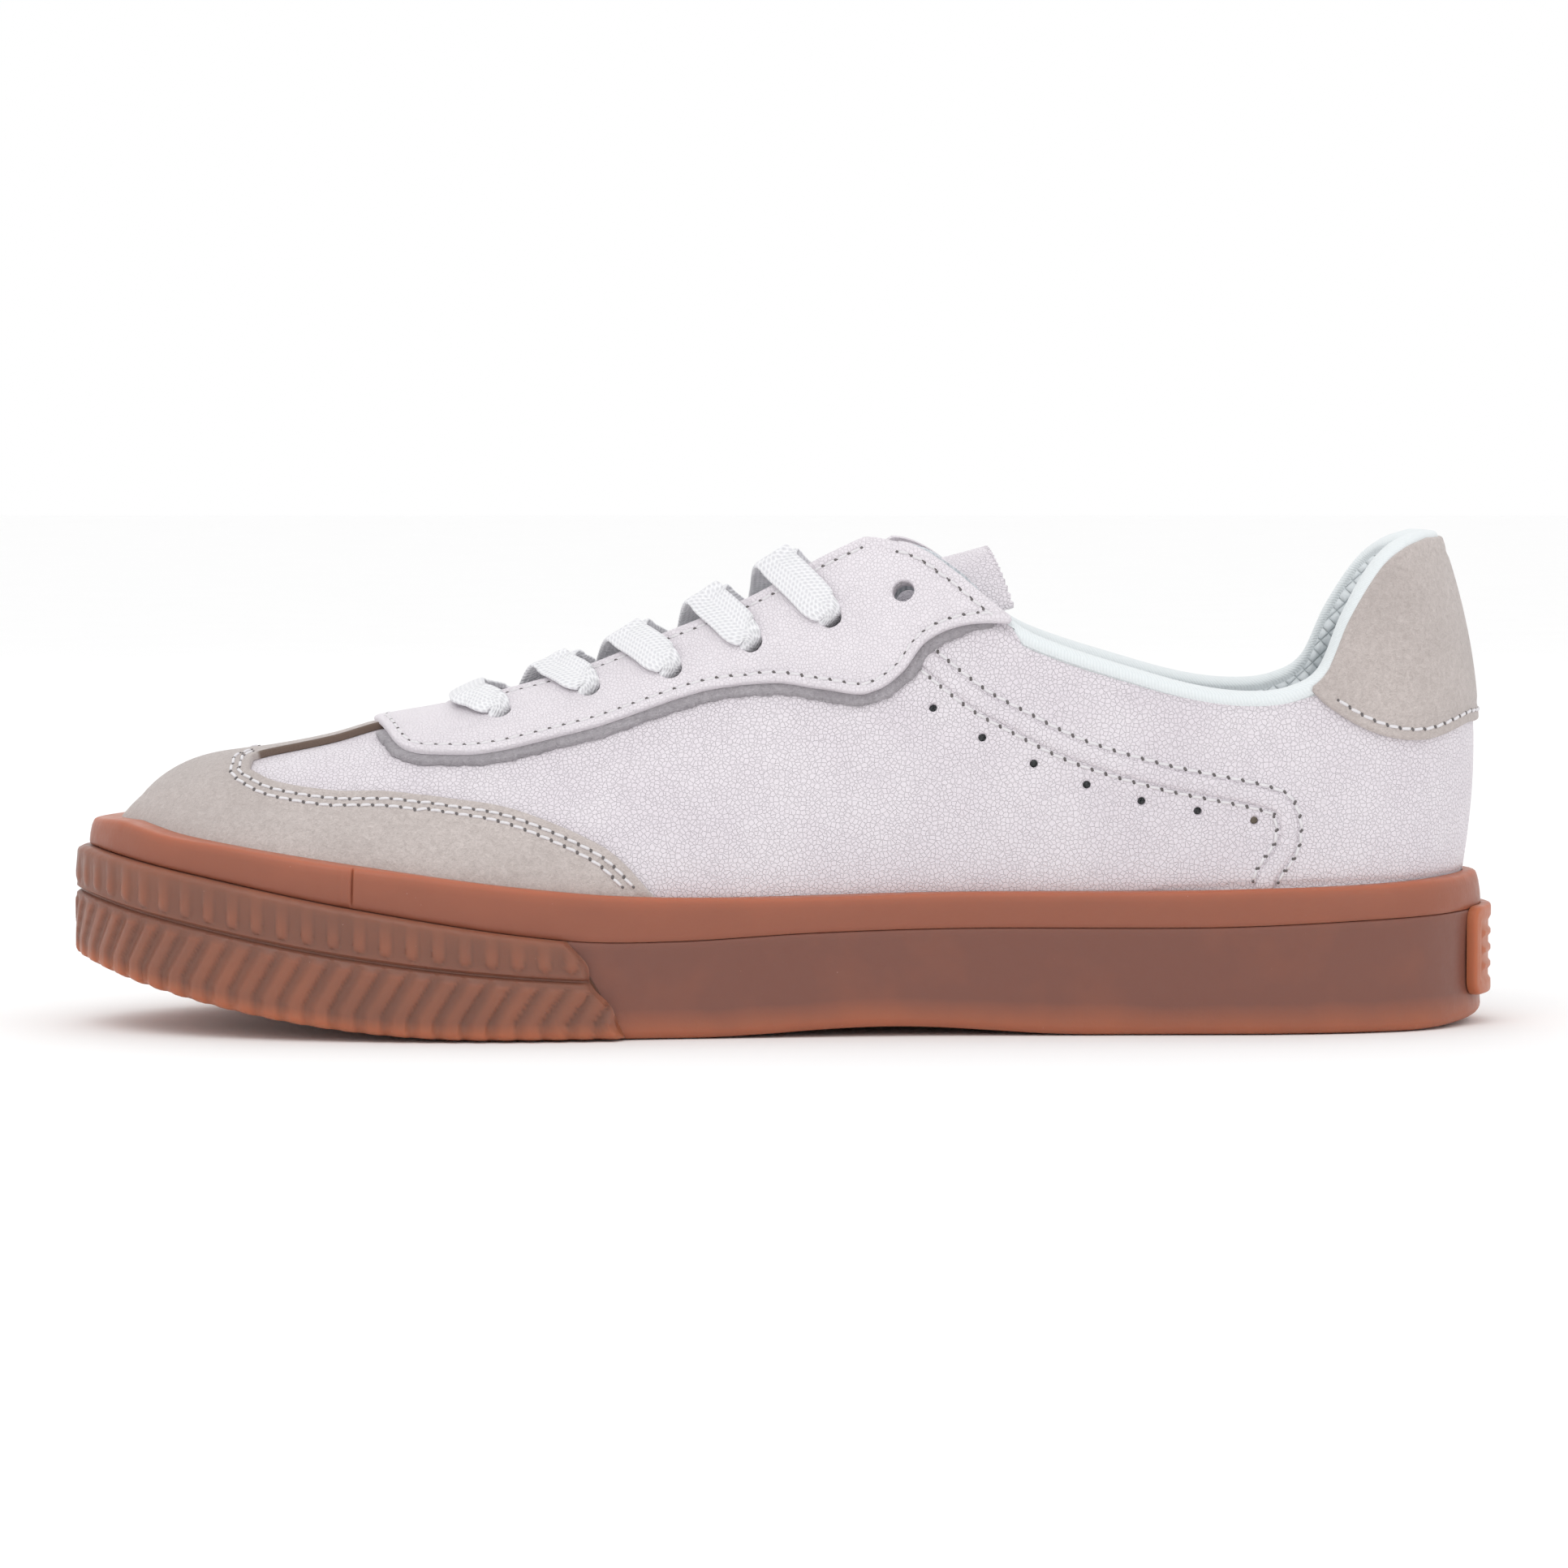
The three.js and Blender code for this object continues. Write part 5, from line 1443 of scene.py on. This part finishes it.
def make_inside():
    filler = slab("filler_pad", -WALL - GAP, lambda x: ground(x) + TREAD + GAP,
                  lambda x: feather(x) - GAP, "filler_foam", "midsole_filler")
    slab("board_layer", INSOLE_INSET, feather, board_top, "board", "insole_board")
    foam = slab("insole_pad", INSOLE_INSET, lambda x: board_top(x) + GAP, foam_top,
                "insole_foam", "insole_foam")
    lining_foot = surface_at(SLAB_STATIONS, lambda x: insole_top(x) + 1.5, INSIDE + 0.4)[:, :2]
    slab("footbed_cover", lining_foot, lambda x: foam_top(x) + GAP, insole_top,
         "insole_textile", "insole_cover", insole_dish)


# ------------------------------------------------------------------ leather panels

EDGE_RINGS = (0.0, 0.16, 0.4, 0.8, 1.3, 1.8, 2.1, 2.45, 3.0)


def pulled(at, depth, width, swell_at=0.0, swelling=0.0, swell_width=1.0):
    """A shape for a panel drawn down along a seam beside its edge, with a swelling before it."""
    return lambda points, border: (
        swelling * bell(border, swell_at, swell_width) - depth * bell(border, at, width)
    )


SEWN_EDGE = pulled(2.15, 0.3, 0.42, 1.0, 0.12, 0.6)
SEAM_EDGE = pulled(1.3, 0.34, 0.42, 0.4, 0.15, 0.4)


def upper_panel(name, loops, layers, finish, node, shape=SEWN_EDGE, **more):
    return panel(name, loops, on_upper, layers, finish, [node], shape=shape, rings=EDGE_RINGS,
                 **more)




def seam_line(side, shift=0.0):
    line = from_side(spline(SEAM, 110), side)
    return shift_line(line, shift) if shift else line


def make_vamp():
    medial, lateral = seam_line(1, -WELT_HALF), seam_line(-1, WELT_HALF)
    outline = opened(
        medial,
        throat_part(1, FRONT_OF_THROAT, SEAM_TOP_X),
        throat_part(-1, FRONT_OF_THROAT, SEAM_TOP_X)[::-1],
        lateral[::-1],
        foot_line(np.linspace(lateral[0, 0], medial[0, 0], 120)),
    )
    holes = eyelet_loops(EYELETS[:LACED])
    for side, _ in SIDES:
        holes += [hole_at(spot, side, PERFORATION_RADIUS, 14) for spot in PERFORATIONS]
    upper_panel("front_leather", [outline, *holes], MAIN_LAYER, "white_leather", "vamp", SEAM_EDGE)


def make_quarters():
    for side, word in SIDES:
        seam = seam_line(side, WELT_HALF * side)
        collar = level_line(np.linspace(CORNER[side], HEEL[side], 200)[3:], leather_top)
        outline = opened(
            seam,
            throat_part(side, SEAM_TOP_X)[::-1],
            collar,
            np.stack([np.full(30, HEEL[side]), np.linspace(collar[-1, 1], 0.03, 30)], 1),
            foot_line(np.linspace(HEEL[side], seam[0, 0], 60)),
        )
        upper_panel("rear_leather_" + word, [outline, hole_at(EYELETS[5], side)], MAIN_LAYER,
                    "white_leather", "rear_quarter_" + word, SEAM_EDGE)


def make_welt():
    """A soft rounded strip of leather in the seam between the vamp and the rear quarters."""
    for side, word in SIDES:
        line = seam_line(side)
        here = dome(*line.T)
        up = dome_normal(*line.T)
        across = unit(np.cross(up, np.gradient(here, axis=0)))
        centre, wide = smooth_route(np.hstack([here - up * 0.25, across]), 1.0)
        size = np.ones(len(centre))
        cord_mesh("seam_welt_" + word, centre, wide, size * (2 * WELT_HALF + 1.2), size * 1.9,
                  "white_leather")


def eyestay_edge(side, shift=0.0):
    """The eyestay's lower edge on one side, from the middle of its toe end to the collar."""
    front = from_plan([(86.2, ridge_y(86.2) + side * 0.4), (85.6, ridge_y(85) + side * 4.2)])
    line = np.vstack([front, from_side(EYESTAY_EDGE, side)])
    edge = unflat(spline(flat(*line.T), 130))
    return shift_line(edge, shift * side) if shift else edge


def flank_line(side, start_x):
    start = station_at(start_x, side, top_height)
    return level_line(np.linspace(start, CORNER[side], 90)[:-8], top_height)


def make_eyestay():
    outline = opened(
        eyestay_edge(1),
        flank_line(1, -48.0),
        throat_part(1, FRONT_OF_THROAT),
        throat_part(-1, FRONT_OF_THROAT)[::-1],
        flank_line(-1, -48.0)[::-1],
        eyestay_edge(-1)[::-1],
    )
    upper_panel("eyestay_leather", [outline, *eyelet_loops()], EYESTAY_LAYER, "eyestay_leather",
                "eyestay", spacing=1.5)
    for side, word in SIDES:
        edge = eyestay_edge(side)
        kept = edge[np.abs(dome(*edge.T)[:, 0] - 20) < 64]
        end = smoothstep(dome(*kept.T)[:, 0], -45, -34)
        outer = raw_edge(shift_line(kept, -(0.4 + 1.7 * end) * side), side)
        inner = shift_line(kept, (0.5 + 3.5 * end) * side)
        upper_panel("raw_edge_" + word, [opened(outer, inner[::-1])], BACKING_LAYER, "raw_split",
                    "eyestay_backing_" + word, None, spacing=1.3, step=0.5)


def raw_edge(line, side):
    """Small tears along a cut edge of split leather."""
    n = np.arange(len(line))
    amount = 0.16 * np.sin(n * 2.9) + 0.14 * np.sin(n * 1.27 + 1) + 0.1 * np.sin(n * 0.41)
    return shift_line(line, amount * side)


STRIP = [(84.5, 6.2), (95, 6.5), (102, 6.8), (107.5, 7.6), (111.5, 9.4)]


def wing_line(side):
    top = from_plan([(x, ridge_y(x) + side * off) for x, off in STRIP])
    wing = from_side(WING_EDGE, side)
    return unflat(np.vstack([spline(flat(*top.T), 40), spline(flat(*wing.T), 120)]))


def make_toe_piece():
    medial, lateral = wing_line(1), wing_line(-1)
    foot = foot_line(np.linspace(medial[-1, 0], lateral[-1, 0], 160))
    obj = upper_panel("toe_suede", [opened(medial, foot, lateral[::-1])], SUEDE_LAYER, "suede",
                      "toe_overlay", pulled(2.2, 0.2, 0.6))
    # Marks the strip's cut edge for its dark brown, partly its own colour and partly painted shade.
    x, y, _ = (places_of(obj) - SHIFT).T
    off = np.abs(np.abs(y - ridge_y(x)) - profile(STRIP)(x))
    set_attribute(obj, "cut", np.where((off < 0.5) & (x > 82) & (x < 110.5), 1.0, 0.0))


def patch_lines():
    start = {side: station_at(-109.8, side, leather_top) for side, _ in SIDES}
    around = round_heel(start[1], start[-1], 90)
    low, high = level_line(around, patch_height), level_line(around, leather_top)
    low[:, 1] = np.minimum(low[:, 1], high[:, 1] - 0.004)
    return low, high


def make_heel_patch():
    low, high = patch_lines()
    upper_panel("heel_suede", [opened(low, high[::-1])], PATCH_LAYER, "suede", "heel_patch",
                pulled(2.2, 0.22, 0.6))


# ------------------------------------------------------------------ lining and binding


def padding(points):
    """How far the collar's padding pushes the lining in."""
    below = profile(COLLAR_EDGE)(points[:, 0]) - 9 - points[:, 2]
    return 4.5 * bell(below, 0, 9) * smoothstep(-points[:, 0], 36, 60)


def padded_out(share):
    return lambda points, border: -padding(points) * share


def make_linings():
    heights = np.linspace(18, float(top_height(-40)) - 1.2, 40)
    split = {side: from_side([(-40, z) for z in heights], side) for side, _ in SIDES}
    rim = round_heel(split[1][-1, 0], split[-1][-1, 0], 150)
    top = level_line(rim, lambda x: leather_top(x) - 0.4)
    foot = foot_line(round_heel(split[-1][0, 0], split[1][0, 0], 90))
    outline = opened(split[1], top, split[-1][::-1], foot)
    obj = upper_panel("collar_padding", [outline], LINING_LAYER, "lining", "collar_lining",
                      padded_out(1), spacing=2.0)
    throat = {side: shift_line(throat_part(side, FRONT_OF_THROAT), 1.0 * side) for side, _ in SIDES}
    edge = {side: shift_line(flank_line(side, -39.4), -1.2 * side) for side, _ in SIDES}
    front = opened(
        split[1],
        edge[1],
        throat[1],
        throat[-1][::-1],
        edge[-1][::-1],
        split[-1][::-1],
        foot_line(np.linspace(split[-1][0, 0], split[1][0, 0], 200)),
    )
    upper_panel("front_lining", [front, *eyelet_loops()], LINING_LAYER, "insole_textile",
                "vamp_lining", None, spacing=2.4)


def make_stiffeners():
    foam_low = profile([(-150, 64), (-128, 62.5), (-98, 52), (-70, 54), (-44, 66)])
    counter_top = profile([(-150, 61), (-130, 59), (-100, 48), (-80, 34), (-72, 16)])
    around = round_heel(0.2, 0.8, 120)
    x = wall(around)[:, 0]
    foam = around[x < -46]
    foam_high = level_line(foam, lambda x: leather_top(x) - 1)
    loop = opened(level_line(foam, foam_low), foam_high[::-1])
    obj = upper_panel("collar_pad", [loop], PAD_LAYER, "collar_foam", "collar_foam",
                      padded_out(0.9), spacing=2.4)
    counter = around[x < -74]
    loop = opened(foot_line(counter), level_line(counter, counter_top)[::-1])
    upper_panel("heel_stiffener", [loop], STIFFENER_LAYER, "stiffener", "heel_counter", None,
                spacing=2.6)
    start, end = (station_at(99, side, lambda x: 40.0) for side, _ in SIDES)
    ps = np.linspace(start, end, 160)
    high = np.stack([ps, np.interp(ps, [start, 0.5, end], [0.42, 0.8, 0.42])], 1)
    upper_panel("toe_stiffener", [opened(foot_line(ps), high[::-1])], STIFFENER_LAYER,
                "stiffener", "toe_puff", None, spacing=2.6)


def make_binding():
    """The tape rolled over the collar from the outside to the lining."""
    start = {side: station_at(-45.5, side, top_height) for side, _ in SIDES}
    ps = round_heel(start[1], start[-1], 320)
    edge = level_line(ps, top_height)
    top = dome(*edge.T)
    normal = dome_normal(*edge.T)
    up = np.cross(unit(np.gradient(top, axis=0)), normal)
    up *= np.sign(up[:, 2:])
    inner = INSIDE - padding(top - up * 3) * 0.9
    outer = np.full(len(ps), 0.45)
    middle, half = (outer + inner) / 2, (outer - inner) / 2
    count = np.arange(len(ps))
    ends = np.clip(np.minimum(count, count[::-1]) / 10, 0.35, 1)
    sections = [(outer - 0.5, -3.4 * ends), (outer, -2.9 * ends)]
    for turn in np.linspace(0.0, math.pi, 15):
        rise = np.minimum(half, 2.6) * math.sin(turn) * 0.62 - 1.6
        sections.append((middle + half * math.cos(turn), rise))
    sections += [(inner - 0.1, -4.0 * ends), (inner + 0.4, -6.5 * ends)]
    sections += [(inner + 1.6, -6.5 * ends), (inner + 1.8, -2.6 * ends)]
    sections += [(outer - 1.4, -2.6 * ends), (outer - 1.2, -4.2 * ends)]
    rows = [top + normal * out[:, None] + up * rise[:, None] for out, rise in sections]
    faces = grid_faces(len(rows), len(ps), True, False)
    ring = np.arange(len(rows)) * len(ps)
    faces += [ring.tolist(), (ring + len(ps) - 1)[::-1].tolist()]
    obj = add_mesh("collar_tape", np.vstack(rows), faces, "binding", ["collar_binding"])
    slant = np.arange(len(rows))[:, None] * 0.35
    set_attribute(obj, "ribs", (run_along(top)[None, :] + slant).ravel())
    reworked(obj)


# ------------------------------------------------------------------ tongue


def on_tongue(points):
    """Where flat points are on the tongue for each distance out from its top."""
    x, off = points.T
    start = np.column_stack([x, ridge_y(x) + off, tongue_height(x, off)])
    return lambda distance: start + (0, 0, 1) * np.asarray(distance)[..., None]


def tongue_outline(inset, teeth):
    """Round the tongue: x and the distance off its middle. Its top end is pinked."""
    xs = np.linspace(73 - inset, -40, 60)
    side = np.stack([xs, tongue_half(xs) - inset], 1)
    corner = side[-1, 1]
    across = np.linspace(corner, -corner, 90 if teeth else 30)
    back = -43.0 - 5.0 * (np.abs(across) / corner) ** 2 + inset
    if teeth:
        back = back + 0.55 * (np.arange(len(across)) % 3 - 1)
    end = np.stack([back, across], 1)
    return np.vstack([side, end, (side * (1, -1))[::-1]])


def make_tongue():
    def layer(name, inset, layers, finish, node, edge, teeth=False, shape=None):
        outline = tongue_outline(inset, teeth)
        return panel(name, [outline], on_tongue, layers, finish, [node], edge=edge,
                     body="tongue", step=0.45 if teeth else 1.0, shape=shape)

    def plump(points, border):
        return 0.5 * (smoothstep(border, 0.0, 2.6) - 1)

    layer("tongue_face", 0.0, (-1.2, 0.0), "white_leather", "tongue_leather", 0.15, teeth=True)
    foam = layer("tongue_pad", 2.5, (-4.2, -1.4), "collar_foam", "tongue_foam", 1.2, shape=plump)
    layer("tongue_back", 0.8, (-4.6, -5.4), "lining", "tongue_lining", 0.3)


# ------------------------------------------------------------------ stitching

STITCH_LENGTH = 2.35
THREAD_RADIUS = 0.3
HOLE_REACH = 1.42
SEWN = ("front_leather", "rear_leather", "eyestay_leather", "toe_suede", "heel_suede")
SEWN += ("tongue_face",)


def capsule():
    """One stitch along X: rings of points that close at both ends."""
    count, sides = 9, 6
    at = np.cos(np.linspace(np.pi, 0, count)) * STITCH_LENGTH / 2
    share = 2 * at / STITCH_LENGTH
    size = THREAD_RADIUS * np.maximum(1 - share**6, 0.05) ** 0.5
    turn = np.arange(sides) / sides * 2 * np.pi
    y = size[:, None] * np.cos(turn) * 1.15
    z = size[:, None] * np.sin(turn) - 0.28 * share[:, None] ** 4
    points = np.column_stack([np.repeat(at, sides), y.ravel(), z.ravel()])
    return points, tube_faces(count, sides)


# A small dark dot for a needle hole, standing for the shade down in it.
def needle_dot(sides=8):
    turn = np.arange(sides) / sides * 2 * np.pi
    rim = np.stack([np.cos(turn) * 0.32, np.sin(turn) * 0.3, np.zeros(sides)], 1)
    return np.vstack([rim, rim * 0.6 - (0, 0, 0.25)]), tube_faces(2, sides)


def copies(shape, centres, along, up):
    points, faces = shape
    across = np.cross(up, along)
    placed = (
        centres[:, None]
        + points[None, :, 0:1] * along[:, None]
        + points[None, :, 1:2] * across[:, None]
        + points[None, :, 2:3] * up[:, None]
    )
    n = len(points)
    every = [[i * n + v for v in face] for i in range(len(centres)) for face in faces]
    return placed.reshape(-1, 3), every


def leather_tree():
    """The finished upper's outside, to lay the stitches on."""
    work = bmesh.new()
    for obj in bpy.data.objects:
        if obj.name.startswith(SEWN):
            work.from_mesh(obj.data)
    tree = BVHTree.FromBMesh(work)
    work.free()
    return tree


def laid_on(tree, spots, ups):
    """The spots moved along ups onto the leather, where it is within reach."""
    moved = spots.copy()
    for i, (spot, up) in enumerate(zip(spots, ups)):
        hit = tree.ray_cast(Vector(world(spot + up * 2.0)), -Vector(up), 0.004)
        if hit[0] is not None:
            moved[i] = np.array(hit[0]) * 1000 - SHIFT
    return moved


def stitches(name, rows, tree, body="shoe", pitch=STITCH_PITCH):
    """Rows of stitches with dark dots of painted shade at their needle holes. A row is 3-D points
    and normals.
    """
    spots, ways, ups = [], [], []
    for points, normals in rows:
        run = run_along(points)
        count = max(int(run[-1] / pitch), 1)
        at = (np.arange(count) + 0.5) * run[-1] / count
        up = read_at(at, run, normals)
        way = read_at(at + 0.8, run, points) - read_at(at - 0.8, run, points)
        way = unit(way + np.cross(up, way) * 0.09)
        spots.append(read_at(at, run, points))
        ways.append(way)
        ups.append(unit(up - way * (up * way).sum(1, keepdims=True)))
    spots, ways, ups = np.vstack(spots), np.vstack(ways), np.vstack(ups)
    spots = laid_on(tree, spots, ups)
    points, faces = copies(capsule(), spots + ups * 0.12, ways, ups)
    add_mesh(name, points, faces, "thread", body=body, crisp=False)
    # Dark dots at both ends of each stitch: painted shade in the needle holes.
    ends = np.vstack([spots + ways * HOLE_REACH, spots - ways * HOLE_REACH])
    ways, ups = np.vstack([ways, ways]), np.vstack([ups, ups])
    points, faces = copies(needle_dot(), ends + ups * 0.07, ways, ups)
    add_mesh(name + "_holes", points, faces, "needle_hole", body=body, crisp=False)


def row_on(line, out):
    return dome(*line.T) + dome_normal(*line.T) * out, dome_normal(*line.T)


def above_band(line, margin=0.6):
    """The part of a (p, t) line that shows above the rubber."""
    points = dome(*line.T)
    return line[points[:, 2] > rim_height(points[:, 0]) + margin]


def make_stitching():
    tree = leather_tree()
    eyestay, seam, toe = [], [], []
    for side, _ in SIDES:
        edge = shift_line(eyestay_edge(side), 1.9 * side)
        lip = shift_line(throat_part(side, FRONT_OF_THROAT - 2.5), 2.3 * side)
        flank = shift_line(flank_line(side, -46.5), 2.3 * side)
        for line in (edge[3:-3], lip[1:], flank[2:-3]):
            eyestay.append(row_on(line, EYESTAY_LAYER[1] - 0.22))
        for shift in (-WELT_HALF - 1.3, WELT_HALF + 1.3):
            seam.append(row_on(above_band(seam_line(side, shift * side)), -0.2))
        for inset in (2.1, 3.9):
            line = above_band(shift_line(wing_line(side)[38:], -inset * side), 1.4)
            toe.append(row_on(line, SUEDE_LAYER[1] - 0.15))
    stitches("eyestay_stitching", eyestay, tree)
    stitches("seam_stitching", seam, tree)
    stitches("toe_stitching", toe, tree, pitch=2.9)
    low, _ = patch_lines()
    stitches("patch_stitching", [row_on(shift_line(low, 2.3)[4:-4], PATCH_LAYER[1])], tree)
    across = np.linspace(-15.5, 15.5, 60)
    back = np.stack([-32.5 - 5.0 * (across / 19) ** 2, across], 1)
    rows = [(on_tongue(back)(-0.05), np.tile([0, 0, 1.0], (60, 1)))]
    stitches("tongue_stitching", rows, tree, "tongue")


# ------------------------------------------------------------------ floor and light


# Each lamp's name, place, size in metres and power.
LAMPS = (
    ("key", (0.35, 0.75, 1.15), 0.9, 2.6),
    ("fill", (-0.9, 0.9, 0.55), 0.8, 0.7),
    ("back", (0.1, -1.0, 0.9), 0.9, 1.0),
)


def set_stage():
    mesh = bpy.data.meshes.new("floor")
    corners = [(x, y, -0.0002) for x, y in ((-4, -4), (4, -4), (4, 4), (-4, 4))]
    mesh.from_pydata(corners, [], [(0, 1, 2, 3)])
    mesh.materials.append(MATERIAL["pale_floor"])
    add_object("floor", mesh)
    studio = bpy.data.worlds.new("studio")
    studio.use_nodes = True
    background = studio.node_tree.nodes["Background"]
    background.inputs["Color"].default_value = (1, 1, 1, 1)
    background.inputs["Strength"].default_value = 1.0
    bpy.context.scene.world = studio
    for name, place, size, power in LAMPS:
        data = bpy.data.lights.new(name, "AREA")
        data.shape = "DISK"
        data.size = size
        data.energy = power
        lamp = add_object(name, data)
        lamp.location = place
        aim = Vector((0, 0, 0.05)) - Vector(place)
        lamp.rotation_euler = aim.to_track_quat("-Z", "Y").to_euler()
    bpy.context.scene.view_settings.view_transform = "Standard"


set_camera()
make_lace()
for side, word in SIDES:
    make_tail(side, word)
set_stage()
make_sole()
make_foxing()
make_bumper()
make_label()
make_inside()
make_vamp()
make_quarters()
make_welt()
make_eyestay()
make_toe_piece()
make_heel_patch()
make_linings()
make_stiffeners()
make_binding()
make_tongue()
make_stitching()
